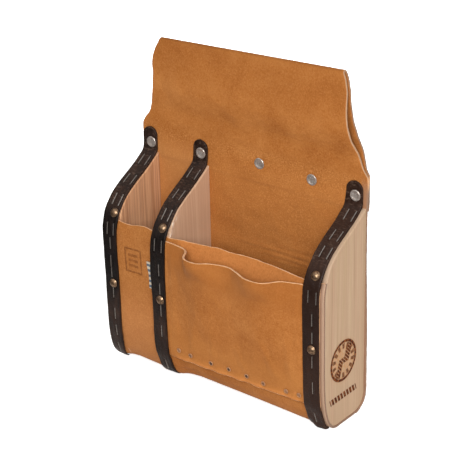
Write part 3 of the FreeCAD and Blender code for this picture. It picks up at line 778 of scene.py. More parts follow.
# --------------------------------------------------------------------------
# metals and tape
# --------------------------------------------------------------------------
def metal(name, base, dark, rough, tarnish, metallic):
    """Scratched metal, dark in spots and hollows; rough is (least, most)."""
    mat = Surface(name)
    spots = mat.noise(1.4, detail=4, rough=0.65, warp=0.3)
    scratch = mat.noise((0.25, 2.5, 2.5), detail=3, rough=0.6, warp=0.5)
    hollows = mat.pointiness().smooth(0.49, 0.44)
    dull = (spots.smooth(0.42, 0.62) * tarnish + hollows * 0.6).clamp()
    mat.colour = mat.mix(dull, base, dark)
    relief = mat.bump(spots * 0.5 + scratch * 0.5, depth=0.12, strength=0.45)
    return mat.finish(Roughness=(spots * 0.6 + scratch * 0.4).smooth(0.3, 0.7, *rough),
                      Metallic=metallic, Normal=relief)


def small_rivet_brass():
    """Tubular rivet heads on the pocket: worn brass round a hole darkened with painted shade."""
    mat = Surface("small_rivet_brass")
    x, _, z = mat.axes()
    nearest = None
    for rivet_x, rivet_z in POCKET_RIVETS:
        dx = x - rivet_x - 0.15
        dz = z - rivet_z
        radius = (dx * dx + dz * dz).sqrt()
        if nearest is None:
            nearest = radius
        else:
            # the smaller of the two distances
            nearest = (nearest * (1.0 - (nearest - radius).above(0.0))
                       + radius * (nearest - radius).above(0.0))
    spots = mat.noise(0.9, detail=4, rough=0.65, warp=0.3)
    # painted shade in the bores, darkest under the pocket's bulge
    bore_shade = nearest.smooth(2.05, 1.15) * (x.smooth(-34.0, -12.0) * x.smooth(70.0, 48.0) * 0.5 + 0.5)
    mat.colour = mat.mix(spots.smooth(0.42, 0.60) * 0.6, (190, 140, 100), (98, 58, 32))
    mat.tint((42, 20, 8), bore_shade, amount=0.92)
    return mat.finish(Roughness=spots.smooth(0.3, 0.7, 0.34, 0.52), Metallic=0.25,
                      Normal=mat.bump(spots, depth=0.12, strength=0.45))


def woven():
    """Narrow woven tape: slate and cream stripes stacked up its height."""
    threads = 2.2                    # per mm
    slate, cream = (74, 88, 104), (206, 192, 168)
    mat = Surface("woven_tape")
    x, _, z = mat.axes()
    warp = (z * threads + (x * threads).floor() * 0.5).zigzag()
    weft = (x * threads).zigzag()
    cell = (warp * 2.0).max(weft * 2.0)
    stripe = ((z - 93.0) * 0.1887).zigzag().smooth(0.27, 0.23)
    mat.colour = mat.mix(stripe, cream, slate)
    mat.tint((46, 42, 38), cell.smooth(0.6, 1.0), amount=0.40)
    return mat.finish(Roughness=0.85, Normal=mat.bump(1.0 - cell, depth=0.25, strength=0.8),
                      Sheen_Weight=0.1)


OUTER_SUEDE = suede("suede_outer", oiled=0.2, local_tones_and_shading=outer_tones_and_shading)
INNER_SUEDE = suede("suede_inner", oiled=0.0, local_tones_and_shading=inner_tones_and_shading)
SUEDE_MATERIALS = [INNER_SUEDE, OUTER_SUEDE, cut_edge()]
STRAP_LEATHER = strap_leather()
WOOD = panel_wood()
NICKEL = metal("nickel_steel", base=(182, 172, 164), dark=(116, 92, 76),
               rough=(0.20, 0.36), tarnish=0.60, metallic=0.55)
RIVET_BRASS = small_rivet_brass()
BRASS = metal("antique_brass", base=(140, 112, 86), dark=(54, 40, 30),
              rough=(0.28, 0.46), tarnish=0.70, metallic=0.85)
WIRE = metal("staple_wire", base=(134, 127, 121), dark=(74, 67, 60),
             rough=(0.34, 0.52), tarnish=0.55, metallic=0.72)
WOVEN = woven()

# CAD pieces that keep their own shape
for material, nodes in (
        (WOOD, ("left_side_panel", "middle_divider_panel", "right_side_panel")),
        (NICKEL, ("strap_rivets", "strap_rivet_back_caps", "loop_rivets",
                  "loop_rivet_back_caps")),
        (RIVET_BRASS, ("pocket_rivets", "pocket_rivet_burrs")),
        (BRASS, ("upper_dome_nails", "lower_dome_nails")),
        (WIRE, ("left_strap_staples", "middle_strap_staples", "right_strap_staples",
                "back_staples", "base_staples"))):
    for node in nodes:
        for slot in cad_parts[node].material_slots:
            slot.link = "OBJECT"
            slot.material = material


# --------------------------------------------------------------------------
# the suede sheet: front wall, base, rear wall, belt loop and its riveted end
# --------------------------------------------------------------------------
# (y, z) of the rear wall, the front leaf of the loop and its back leaf
REAR_WALL = [(1.0, 60.0), (1.0, 120.0), (1.0, 180.0), (1.0, 216.0)]
FRONT_LEAF = [(0.6, 226.0), (0.0, 234.0), (-0.5, 242.0), (-1.2, 249.0), (-3.3, 258.5),
              (-5.1, 269.0), (-5.4, 279.0), (-4.6, 290.0), (-3.5, 300.0), (-2.5, 309.0)]
BACK_LEAF = [(1.9, 309.0), (1.7, 301.0), (2.6, 290.0), (4.2, 278.0), (6.0, 265.0),
             (6.7, 251.0), (5.2, 240.0), (3.6, 232.0), (3.05, 224.0), (3.05, 212.0),
             (3.05, 196.2)]
# (z, reach from x = 0) of the right edge of the loop, of the left edge of the
# loop and rear wall, and of the right edge of the rear wall
LOOP_RIGHT = np.array([
    (225.0, 126.2), (229.0, 126.0), (236.0, 121.2), (250.0, 116.0), (260.0, 111.2),
    (273.0, 108.0), (288.0, 106.6), (300.0, 106.0), (311.0, 103.6), (317.0, 100.8),
    (322.0, 100.0)]).T
SHEET_LEFT = np.array([
    (60.0, 125.8), (205.0, 127.2), (214.0, 128.2), (222.0, 128.8), (227.0, 128.0),
    (233.0, 124.4), (237.0, 120.6), (241.0, 118.7), (245.0, 117.6), (249.0, 116.4),
    (253.0, 115.3), (259.0, 114.1), (267.0, 112.3), (275.0, 111.4), (283.0, 110.4),
    (291.0, 111.4), (300.0, 110.2), (308.0, 107.0), (314.0, 103.8), (318.0, 101.6),
    (322.0, 100.6)]).T
REAR_RIGHT = np.array([
    (0.0, 125.6), (20.0, 126.2), (80.0, 126.2), (120.0, 125.3), (150.0, 124.7),
    (190.0, 124.6), (200.0, 125.2), (210.0, 126.0), (225.0, 126.2)]).T
# rows of x and of an amount in mm: how far the front wall bows inwards, how
# its upper edge rises left of the divider and drops right of it, how far the
# base is drawn in
FRONT_BOW = ([-110, -100, -87, -75, -64, -50, -48, -30, -4, 25, 45, 63.5, 85, 103, 110, 125],
             [0, 0.5, 1.2, 0.8, 0, 0, 0.2, 3.0, 7.6, 10.6, 10.2, 8.8, 4.6, 1.0, 0, 0])
EDGE_RISE = ([-109, -102, -95, -88.5, -79, -72, -66, -60],
             [0.2, -1.3, -1.0, 0.0, 1.3, 0.6, -0.3, 0.0])
EDGE_DROP = ([-60, -50, -35, -10, 20, 60, 95, 108, 114],
             [0.0, 2.4, 2.2, 2.4, 3.2, 3.5, 2.8, 1.6, 0.0])
BASE_DRAW = ([-119, -112, -103, -90, -76, -68, -64, -50, -46, -40,
              -28, -12, 12, 40, 65, 90, 104, 110],
             [0, 0.5, 0.65, 0.5, 0.35, 0.12, 0, 0, 0.4, 0.75,
              0.95, 0.85, 0.7, 0.52, 0.32, 0.08, 0, 0])
# rows of x and of the darkness of the painted shade along the line left by the loop's hidden lower
# end
FLAP_LINE_SHADE = ([-112, -106, -62, -55, -30, -12, 0, 22, 40, 50],
             [0, 0.42, 0.42, 0.1, 0.05, 0.3, 0.5, 0.5, 0.25, 0])
# wrinkles of the rear wall: z, height, width, x from, x to
WRINKLES = ((133.5, 0.55, 1.5, -30, 108), (128.2, 0.65, 1.4, 2, 108),
            (122.6, 0.35, 1.6, 10, 70), (139.5, 0.3, 1.8, 30, 100))
# painted shade in creases among them: z, x from, x to, darkness
CREASE_SHADE = ((134.5, -20, 60, 0.55), (131.0, 24, 96, 0.9), (126.5, 10, 70, 0.8),
                (121.5, 40, 104, 0.7), (138.0, 60, 104, 0.65))


def sheet_path():
    """Middle line of the sheet as (y, z), from the front wall's upper edge."""
    half = SUEDE / 2
    front = offset(EDGE, -half)[EDGE[:, 1] < 150.0]
    front = np.vstack([[front_y(FRONT_TOP, half), FRONT_TOP], front])
    front = np.vstack([front[front[:, 1] > 1.02], [[-43.5, half]]])
    corner = [(-16 + 17 * math.sin(a), 18 - 17 * math.cos(a))
              for a in np.radians(np.arange(0, 91, 7.5))]
    fold_z, fold_radius = 315.3, 2.0
    fold = [(-fold_radius * math.cos(a), fold_z + fold_radius * math.sin(a))
            for a in np.radians(np.arange(0, 181, 30))]
    points = (front[::3].tolist() + [(-30.0, half)] + corner + REAR_WALL
              + FRONT_LEAF + fold + BACK_LEAF)
    return resample(catmull(points, 8), spacing=1.4, turn=0.20)


def sheet_reach(y, z, front, back):
    """How far the sheet reaches left and right of x = 0 along its path."""
    flap = back & (z < 232)
    right = np.where(z < 225, np.interp(z, *REAR_RIGHT), np.interp(z, *LOOP_RIGHT))
    right = np.where(front | (y < -14), PANEL_END, right)
    right = np.where(flap, np.minimum(right, 125.6), right)
    left = np.where(front | (z < 40), PANEL_END, np.interp(z, *SHEET_LEFT))
    left = np.where(flap, np.minimum(left, 127.4), left)
    return left, right


def shape_front_wall(x, y, z, front):
    """Bow the front wall inwards, most at its uneven upper edge (in place)."""
    bow = blur(np.interp(x, *FRONT_BOW), np.exp(-np.linspace(-2, 2, 9) ** 2), axis=0)
    y += bow * (front * np.clip((z - 20) / 130.0, 0, 1) ** 1.5)
    edge = front * step(120, 151, z)
    z += edge * (0.5 * noise(x / 17.0, 3.2, seed=5) + 0.25 * noise(x / 6.0, 0, seed=6))
    z += edge * np.interp(x, *EDGE_RISE)
    z -= edge * np.interp(x, *EDGE_DROP)


def shape_rear_wall(x, y, z, rear, back, free):
    """Waves, marks and wrinkles of the rear wall (changes y in place)."""
    wave = 0.9 * fractal(x / 46.0, z / 38.0, seed=11, octaves=3) \
        + 0.25 * noise(x / 9.0, z / 8.0, seed=15)
    y += rear * band(z, 20, 60, 205, 222) * free * (wave * 0.55 - 0.35)
    # imprint of the loop's hidden lower end
    imprint = rear * band(z, 195.0, 197.6, 203, 214)
    y -= imprint * 0.45 * (0.75 + 0.35 * noise(x / 22.0, 9.1, seed=21))
    for middle, height, width, start, end in WRINKLES:
        ridge = middle + 1.6 * noise(x / 26.0, middle, seed=31)
        y -= rear * height * bump(z, ridge, width) * band(x, start, start + 22, end - 22, end)
    # dimples round the two loop rivets, in both layers
    for rivet_x, rivet_z in LOOP_RIVETS:
        pull = 0.55 * bump(np.hypot(x - rivet_x, z - rivet_z), 0, 11.0)
        y += rear * pull
        y -= (back & (z < 235)) * pull


def shape_belt_loop(x, y, z, rear, back):
    """Soft swells of the loop's front and back leaf (changes y in place)."""
    loop = band(z, 228, 246, 300, 316)
    swell = 1.3 * fractal(x / 64.0 + 2.0, z / 34.0, seed=41, octaves=2) \
        + 0.30 * noise(x / 14.0, z / 11.0, seed=44)
    y += rear * loop * swell * 0.8
    swell = 1.1 * fractal(x / 58.0 + 8.0, z / 36.0, seed=47, octaves=2) \
        + 0.25 * noise(x / 15.0, z / 12.0, seed=49)
    y += back * loop * swell * 0.7
    # the tunnel gapes a little less at its left end
    y += rear * loop * 1.6 * step(-60, -112, x) * bump(z, 268, 26)


def draw_in_base(x, y, z, front, back):
    """Draw the lower front and the base in between the panels (in place)."""
    draw = np.interp(x, *BASE_DRAW)
    low = front * step(52, 14, z)
    on_base = ~back & ((front & (z < 12)) | (~front & (z < 3)))
    base = np.where(on_base, step(-14, -42, y), 0.0)
    y += low * draw * 3.4
    z += np.maximum(base, low * step(20, 6, z)) * draw * 2.3


def sheet_shade_and_pale(x, z, first_z, front, rear):
    """Painted shade (above 0) in creases and under the pocket's edge, and paler leather (below 0)
    behind the pocket.
    """
    # painted shade along the imprint of the loop's lower end and in the wrinkles
    line = 196.2 + 0.7 * noise(x / 30.0, 2.0, seed=91)
    painted_shade_and_pale = bump(z, line, 0.9) * rear * np.interp(x, *FLAP_LINE_SHADE)
    for middle, start, end, darkness in CREASE_SHADE:
        ridge = middle + 1.8 * noise(x / 21.0, middle, seed=93) - 0.02 * (x - start)
        broken = np.clip(0.5 + 1.2 * noise(x / 8.0, middle, seed=95), 0, 1)
        painted_shade_and_pale = np.maximum(painted_shade_and_pale, rear * darkness * bump(z, ridge, 0.9) * broken
                            * band(x, start, start + 10, end - 10, end))
    # painted shadow under the pocket's lower edge
    under = front * bump(z, 26.6, 1.5) * 1.1 * band(x, -50, -44, 100, 106)
    painted_shade_and_pale = np.maximum(painted_shade_and_pale, under)
    # the front wall is paler behind the pocket
    hidden = front * step(96, 112, first_z) * band(x, -44, -34, 96, 104)
    return np.where(hidden > 0.01, -0.55 * hidden, painted_shade_and_pale)


def body_sheet():
    path = sheet_path()
    path_y, path_z = path.T
    columns = 126
    # parts of the sheet, told apart along its path
    order = np.arange(len(path))
    lowest = int(np.argmin(path_z + np.abs(path_y + 30) * 0.01))
    front = order < lowest
    back = order > int(np.argmax(path_z))
    rear = ~front & ~back
    left, right = sheet_reach(path_y, path_z, front, back)
    across = np.linspace(-1, 1, columns)[:, None]
    x = np.where(across < 0, across * left, across * right)
    y, z = (np.repeat(row[None, :], columns, 0) for row in (path_y, path_z))
    # the top fold rises to the right
    z += step(232, 318, z) ** 1.4 * ((x / 101.5) * 4.0 + 0.9)
    first_z = z.copy()
    shape_front_wall(x, y, z, front)
    # the sheet stays flat where it lies on timber
    on_wood = np.zeros_like(x)
    for start, end in PANELS_X:
        on_wood = np.maximum(on_wood, band(x, start - 7, start, end, end + 7))
    free = 1 - on_wood
    shape_rear_wall(x, y, z, rear, back, free)
    shape_belt_loop(x, y, z, rear, back)
    ripple = 0.12 * noise(x / 5.0, z / 5.0, seed=51)
    y += ~front * free * ripple * step(30, 60, z)
    draw_in_base(x, y, z, front, back)
    # painted shade in creases and under the pocket's edge, paler behind the pocket
    painted_shade_and_pale = sheet_shade_and_pale(x, z, first_z, front, rear)
    return sheet("suede_sheet", np.stack([x, y, z], 2), SUEDE, seed=3, shade=painted_shade_and_pale)


leather = body_sheet()
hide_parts("body_leather", "loop_end_flap", "belt_loop_leather")
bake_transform(leather)


# --------------------------------------------------------------------------
# front pocket
# --------------------------------------------------------------------------
# (x, bulge forwards) of the pocket's mouth, seen from above
POCKET_PLAN = [(-65.0, 0.0), (-57.0, 0.0), (-48.4, 0.0), (-41.5, 0.35), (-34.6, 1.1),
               (-29.0, 2.3), (-24.6, 4.6), (-21.4, 8.6), (-19.3, 13.2), (-17.0, 17.0),
               (-13.4, 19.8), (-7.9, 21.0), (-1.9, 20.6), (4.6, 18.0), (11.0, 14.6),
               (17.8, 11.8), (25.7, 10.4), (32.7, 11.4), (40.7, 14.8), (49.5, 19.2),
               (57.3, 21.6), (65.9, 21.3), (73.7, 17.8), (78.8, 12.6), (82.6, 8.0),
               (87.2, 4.9), (93.0, 3.0), (97.8, 1.3), (101.4, 0.35), (104.4, 0.0),
               (113.0, 0.0), (121.0, 0.0)]
# rows of z and of the share of that bulge
POCKET_SHARE = ([28, 35, 42, 50, 60, 72, 88, 104, 120, 134, 146],
                [0.0, 0.006, 0.04, 0.11, 0.21, 0.34, 0.50, 0.66, 0.82, 0.96, 1.0])
# folds from the lobes towards the riveted edge: x and z of the upper end, x
# and z of the lower end, height, width
DRAG_FOLDS = ((56, 96, 74, 48, 0.9, 4.0), (30, 70, 40, 40, 0.6, 3.4),
              (-10, 92, -22, 48, 0.8, 4.0), (4, 80, 2, 44, 0.5, 3.5),
              (86, 110, 92, 50, 0.7, 3.6))
POCKET_OUT = 3.05        # middle of the flat pocket leather, from the panel edge


def pocket_bulge(plan, x, z):
    """How far the pocket stands forwards; its left turn eases lower down."""
    plan_x, plan_out = plan.T
    kernel = bump(plan_x[:, None] - plan_x, 0, 23.0) * np.abs(np.gradient(plan_x))
    kernel /= kernel.sum(1)[:, None]
    soft = (kernel @ plan_out)[:, None] * band(plan_x[:, None], -50, -42, 96, 106)
    ease = step(144, 122, z)
    share = blur(np.interp(z, *POCKET_SHARE), np.ones(7), axis=1)
    return (plan_out[:, None] * (1 - ease) + soft * ease) * share


def pocket_shade_and_highlight(x, z, inside):
    """Painted shade in rings round the rivets, stronger below them; painted highlight beside them
    and along the lower edge.
    """
    rivet_shading = np.zeros_like(x)
    for rivet_x, rivet_z in POCKET_RIVETS:
        dist = np.hypot(x - rivet_x, z - rivet_z)
        # painted shade round the rivet, stronger below it
        ring = 0.75 * bump(dist, 2.3, 1.1) * np.where(z < rivet_z + 0.6, 1.0, 0.45)
        rivet_shading = np.maximum(rivet_shading, ring)
        # painted highlight beside the rivet
        beside = np.hypot(x - rivet_x + 3.1, (z - rivet_z - 0.4) * 1.5)
        rivet_shading = np.where(np.abs(rivet_shading) > 0.15, rivet_shading, -1.1 * bump(beside, 0, 2.2))
    # painted highlight along the lower edge
    return np.where(np.abs(rivet_shading) > 0.12, rivet_shading, -0.75 * bump(z, 29.2, 2.0) * inside)


def pocket_sheet():
    plan = resample(catmull(POCKET_PLAN, 6), spacing=1.6, turn=0.16)
    heights = np.concatenate([np.linspace(145.7, 46, 62), np.linspace(44.6, 28.3, 14)])
    z = np.repeat(heights[None, :], len(plan), 0)
    x = np.repeat(plan[:, :1], len(heights), 1)
    y = front_y(z, POCKET_OUT) - pocket_bulge(plan, x, z)
    inside = band(x, -47, -36, 94, 104)
    wave = 0.55 * fractal(x / 24.0, z / 40.0, seed=61, octaves=3) \
        + 0.15 * noise(x / 7.0, z / 9.0, seed=63)
    y -= inside * (wave * step(36, 60, z) * 0.9)
    for x0, z0, x1, z1, height, width in DRAG_FOLDS:
        dx, dz = x1 - x0, z1 - z0
        length = math.hypot(dx, dz)
        along = ((x - x0) * dx + (z - z0) * dz) / length ** 2
        aside = ((x - x0) * dz - (z - z0) * dx) / length
        y -= height * bump(aside, 0, width) * band(along, -0.2, 0.8, 0.85, 1.15)
    # the rivets pull the lower edge in
    for rivet_x, rivet_z in POCKET_RIVETS:
        y += 0.35 * bump(np.hypot((x - rivet_x) * 0.9, z - rivet_z), 0, 4.5)
    # the lower edge lifts off between the rivets
    near = np.min([np.abs(x - rivet_x) for rivet_x, _ in POCKET_RIVETS], axis=0)
    lip = (1 - step(POCKET_BOTTOM, 35, z)) * inside
    y -= lip * (0.60 + 0.85 * step(1.5, 8.0, near)) * (1 + 0.35 * noise(x / 8.0, 2, seed=65))
    # soft upright fold beside the right strap
    y -= 0.5 * bump(x, 99.5, 2.4) * band(z, 50, 80, 130, 144)
    # uneven lower and upper edges
    z += (1 - step(POCKET_BOTTOM, 40, z)) * 0.5 * noise(x / 19.0, 5, seed=67)
    z += step(130, 146, z) * 0.35 * noise(x / 9.0, 1, seed=68)
    # shade: painted shade round the rivets, painted highlight beside them and along the lower edge
    return sheet("front_pocket_suede", np.stack([x, y, z], 2), POCKET_SUEDE, seed=9,
                 shade=pocket_shade_and_highlight(x, z, inside))


on_case(pocket_sheet(), "front_pocket_leather")


# --------------------------------------------------------------------------
# edge straps
# --------------------------------------------------------------------------
# left, right: rows of z and of the extra width on that side
# pairs: z, then x of the two upright staples from the strap's middle
# row: z, x from the middle and crown of each level staple
# heads: x from the middle, z and radius of the dome nails and the rivet
# The heads and staples press the leather in.
STRAPS = (
    dict(name="left_edge_strap", x=-118.3,
         left=([0, 50, 62, 98, 112, 165, 215], [0.4, -0.3, -0.5, -0.1, 0.5, 1.4, 1.2]),
         right=([0, 5, 12, 20, 30, 60, 98, 112, 150, 215],
                [-5.5, -5.0, -2.6, -1.0, -0.3, 0.4, 0.0, -0.7, -0.6, -0.9]),
         pairs=((194.3, -3.9, 3.7), (182.1, -4.2, 4.1), (168.2, -3.2, 4.4),
                (142.4, -2.9, 4.5)),
         row=((127.6, 0.4, 11.6), (109.0, 0.2, STAPLE), (97.2, 0.5, 10.2),
              (76.2, 1.4, 10.8), (54.0, 2.0, STAPLE), (35.5, 2.0, 11.6)),
         heads=((3.0, 157.9, NAIL), (2.2, 86.4, NAIL), (1.1, 209.3, RIVET))),
    dict(name="middle_edge_strap", x=-58.9,
         left=([0, 60, 98, 112, 128, 150, 180, 196, 215],
               [0.0, -0.2, 0.5, 1.3, 0.7, 0.2, 0.6, 1.2, -0.3]),
         right=([0, 30, 70, 110, 130, 150, 165, 190, 215],
                [-0.8, -0.4, -0.4, -0.9, -0.1, 0.4, 0.5, -0.5, 0.3]),
         pairs=((194.0, -4.3, 4.7), (181.3, -2.8, 4.6), (167.6, -2.3, 4.7),
                (141.4, -3.0, 5.2)),
         row=((116.7, 1.4, STAPLE), (97.6, 1.8, 11.2), (74.9, 2.2, STAPLE),
              (53.4, 2.0, STAPLE)),
         heads=((2.8, 157.6, NAIL), (2.0, 86.2, NAIL), (1.4, 211.3, RIVET))),
    dict(name="right_edge_strap", x=113.5,
         left=([0, 20, 60, 110, 150, 168, 190, 204, 215],
               [1.0, 0.9, 0.2, 0.8, 0.7, 1.1, 1.4, 1.8, 0.6]),
         right=([0, 12, 40, 110, 150, 190, 215], [-0.8, 0.4, 0.8, 0.3, 0.3, 0.0, 0.2]),
         pairs=((195.2, -2.5, 5.6), (183.5, -2.5, 5.2), (173.6, -2.5, 5.4),
                (138.2, -2.5, 6.0)),
         row=((116.3, 1.7, STAPLE), (98.6, 1.9, 11.0), (74.6, 1.9, STAPLE),
              (48.7, 2.4, STAPLE)),
         heads=((1.6, 157.0, NAIL), (1.5, 87.0, NAIL), (1.3, 210.8, RIVET))))
LEFT, RIGHT = 0, 2       # places in STRAPS
STRAP_ROWS = 300
STRAP_COLUMNS = 43
LOWEST_Z = 0.05          # the right strap stays above this


def strap_lines(index):
    """Inner and outer profile (y, z) of a strap, from its top end down."""
    # the left strap crosses one layer of suede, the others two
    layers = SUEDE if index == LEFT else 2 * SUEDE
    full_from = 152.5 if index == LEFT else 146.8
    gaps, thicks = [], []
    for z in EDGE[:, 1]:
        if z > 168.0:
            gap = FIT
        elif z > full_from:
            gap = FIT + layers * float(step(168.0, full_from, z))
        elif z > POCKET_BOTTOM:
            gap = layers + FIT
        elif z > POCKET_BOTTOM - 6.0:
            down = float(step(POCKET_BOTTOM, POCKET_BOTTOM - 6.0, z))
            gap = layers + FIT - (layers - SUEDE) * down
        else:
            gap = SUEDE + FIT
        thick = STRAP_THICK
        if z < 13.0:
            thick -= (STRAP_THICK - STRAP_FOOT) * min(1.0, (13.0 - z) / 9.9)
        gaps.append(gap)
        thicks.append(thick)
    inner = offset(EDGE, [-gap for gap in gaps])
    outer = offset(EDGE, [-(gap + thick) for gap, thick in zip(gaps, thicks)])
    start = int(np.argmax(EDGE[:, 1] < 196.5))
    stop = len(EDGE) - 1
    while outer[stop][1] < 0.35:
        stop -= 1
    top_inner = [(-FIT, 224.0), (-FIT, 214.0), (-FIT, 205.5), (-0.65, 200.8)]
    top_outer = [(-STRAP_THICK, 224.0), (-STRAP_THICK, 214.0), (-2.45, 207.0), (-3.6, 201.6)]
    return [np.array(catmull(top + line[start:stop + 1].tolist(), 5))
            for top, line in ((top_inner, inner), (top_outer, outer))]


def even_rows(line):
    """STRAP_ROWS even points along a line, and their running length."""
    run = np.concatenate([[0], np.cumsum(np.linalg.norm(np.diff(line, axis=0), axis=1))])
    at = np.linspace(0, 1, STRAP_ROWS) * run[-1]
    return interp_rows(at, run, line), at


def strap_profile(index):
    """Inner and outer points, outward directions and running length."""
    (inner, _), (outer, run) = (even_rows(line) for line in strap_lines(index))
    if index != LEFT:
        # soften the step below the pocket
        soft = blur(outer, np.hanning(23), axis=0)
        share = band(outer[:, 1], 12, 18, 38, 46)[:, None]
        outer = outer * (1 - share) + soft * share
    along = np.gradient(outer, axis=0)
    along /= np.linalg.norm(along, axis=1)[:, None]
    outward = np.stack([along[:, 1], -along[:, 0]], 1)
    outward *= np.sign(((outer - inner) * outward).sum(1))[:, None]
    return inner, outer, outward, run


def strap_stand_off(index, outer):
    """The stiff right strap stands off the rounded lower corner."""
    if index != RIGHT:
        return np.zeros(STRAP_ROWS)
    y, z = outer.T
    corner = 2.9 * band(z, 0.2, 3.5, 4.5, 11.0)
    foot = 1.6 * (1 - step(1.0, 5.0, z)) * (1 - step(-52.0, -46.0, y))
    return blur(np.maximum(corner, foot), np.ones(7))


def strap_dents(strap, outer, run):
    """Staple seats (x, run, half length, depth) and heads (x, run, radius)."""
    def run_at(z):
        return float(np.interp(-z, -outer[:, 1], run))

    seats = [(dx, run_at(z), STAPLE / 2, 0.50)
             for z, *sides in strap["pairs"] for dx in sides]
    seats += [(dx, run_at(z), crown / 2, 0.50) for z, dx, crown in strap["row"]]
    seats.append((0.6, run_at(14.5), STAPLE / 2, 0.40))
    heads = [(dx, run_at(z), radius) for dx, z, radius in strap["heads"]]
    return seats, heads


def strap_piece(index):
    strap = STRAPS[index]
    inner, outer, outward, run = strap_profile(index)
    stand_off = strap_stand_off(index, outer)
    seats, heads = strap_dents(strap, outer, run)
    half = STRAP_WIDTH / 2
    face = np.linspace(-half + 0.5, half - 0.5, STRAP_COLUMNS)
    rings = []
    for at, low, high, out, stand in zip(run, inner, outer, outward, stand_off):
        width = half + 0.16 * float(noise(at / 26.0, index * 5.0, seed=71)) \
            + 0.07 * float(noise(at / 4.0, index * 3.0, seed=72))
        if at < half:
            # rounded upper end
            width = min(width, math.sqrt(max(half ** 2 - (half - at) ** 2, 0.35)))
        scale = width / half
        grow_left, grow_right = (float(np.interp(high[1], *strap[side])) * scale
                                 for side in ("left", "right"))
        across = face * scale
        # how far the face lies below the profile: rounded edges and a crown
        drop = 0.42 * np.clip((np.abs(across) - (width - 1.5)) / 1.5, 0, 1) ** 2
        drop -= 0.05 * np.cos(across / half * math.pi)
        for dx, seat, half_length, depth in seats:
            beyond = np.clip(abs(at - seat) - half_length, 0, None)
            dist = np.hypot(beyond, np.clip(np.abs(across - dx) - 0.42, 0, None))
            drop += depth * bump(dist, 0, 0.95)
        for dx, seat, radius in heads:
            dist = np.hypot(at - seat, across - dx)
            drop += 0.34 * bump(np.clip(dist - radius, 0, None), 0, 1.7)
        drop += 0.10 * noise(across / 3.0 + 10 * index, at / 7.0, seed=73) \
            + 0.16 * noise(across / 9.0 + 4 * index, at / 17.0, seed=74)
        drop = np.minimum(drop, float(np.linalg.norm(high - low)) - 0.35)
        lift = stand * (0.15 + 0.85 * step(-half + 1.0, -half + 7.5, across))
        drop = np.maximum(drop, -0.15) - lift
        top = high - out * drop[:, None]
        # upper and lower point of the left and right cut edge
        lifted = high + out * stand
        left_upper, left_lower, right_upper, right_lower = (
            level * share + low * rest for level in (high, lifted)
            for share, rest in ((0.62, 0.38), (0.22, 0.78)))
        if index == RIGHT:
            top[:, 1] = np.maximum(top[:, 1], LOWEST_Z)
            right_upper[1] = max(right_upper[1], LOWEST_Z)
        across = across + np.where(across < 0, grow_left, grow_right) * (across / width)
        right = width + 0.02 + grow_right
        left = -(width + 0.02 + grow_left)
        ring = [*zip(across, top), (right, right_upper), (right, right_lower),
                (across[-1], low), (0.0, low), (across[0], low),
                (left, left_lower), (left, left_upper)]
        rings.append([(strap["x"] + dx, y, z) for dx, (y, z) in ring])
    ob = swept(strap["name"] + "_leather", rings, STRAP_LEATHER)
    on_case(ob, strap["name"])


for k in range(len(STRAPS)):
    strap_piece(k)


# --------------------------------------------------------------------------
# woven tab
# --------------------------------------------------------------------------
def tab_piece():
    """Folded tape: two plies meeting in a rounded fold on the left side."""
    rings = []
    for z in np.linspace(93.2, 119.8, 40):
        wall_y = float(front_y(z, 2.07))
        lift = 0.10 * float(noise(z / 6.0, 1.0, seed=81))
        widen = 2.4 * float(step(105.0, 119.0, z))
        # (x, distance in front of the wall)
        profile = [(-65.3, 0.0), (-68.0, 0.0), (-71.4, 0.02), (-72.2, 0.12),
                   (-72.6, 0.62 + lift), (-72.2, 1.12 + lift), (-71.2, 1.26 + lift),
                   (-68.0, 1.30), (-65.3, 1.30)]
        rings.append([(x - (widen if x < -71.0 else 0.0), wall_y - out - 0.02, z)
                      for x, out in profile])
    on_case(swept("woven_side_tab", rings, WOVEN), "woven_tab")


tab_piece()


# --------------------------------------------------------------------------
# floor, light, camera (metres)
# --------------------------------------------------------------------------
CAMERA_AZIMUTH = math.radians(37.92)     # from the front towards the right
CAMERA_ELEVATION = math.radians(25.02)
CAMERA_ROLL = math.radians(-1.22)
CAMERA_DISTANCE = 1.6053
CAMERA_TARGET = (0.0, -0.032 + REAR_Y * MM, 0.140)
LIGHT_TARGET = (0, 0, 0.12)
LIGHT_DISTANCE = 2.2
WORLD_LIGHT = 0.22       # strength of the even room light


def toward(azimuth, elevation, distance=1.0):
    """Vector of a given length, azimuth from the front towards the right."""
    return (distance * math.cos(elevation) * math.sin(azimuth),
            -distance * math.cos(elevation) * math.cos(azimuth),
            distance * math.sin(elevation))


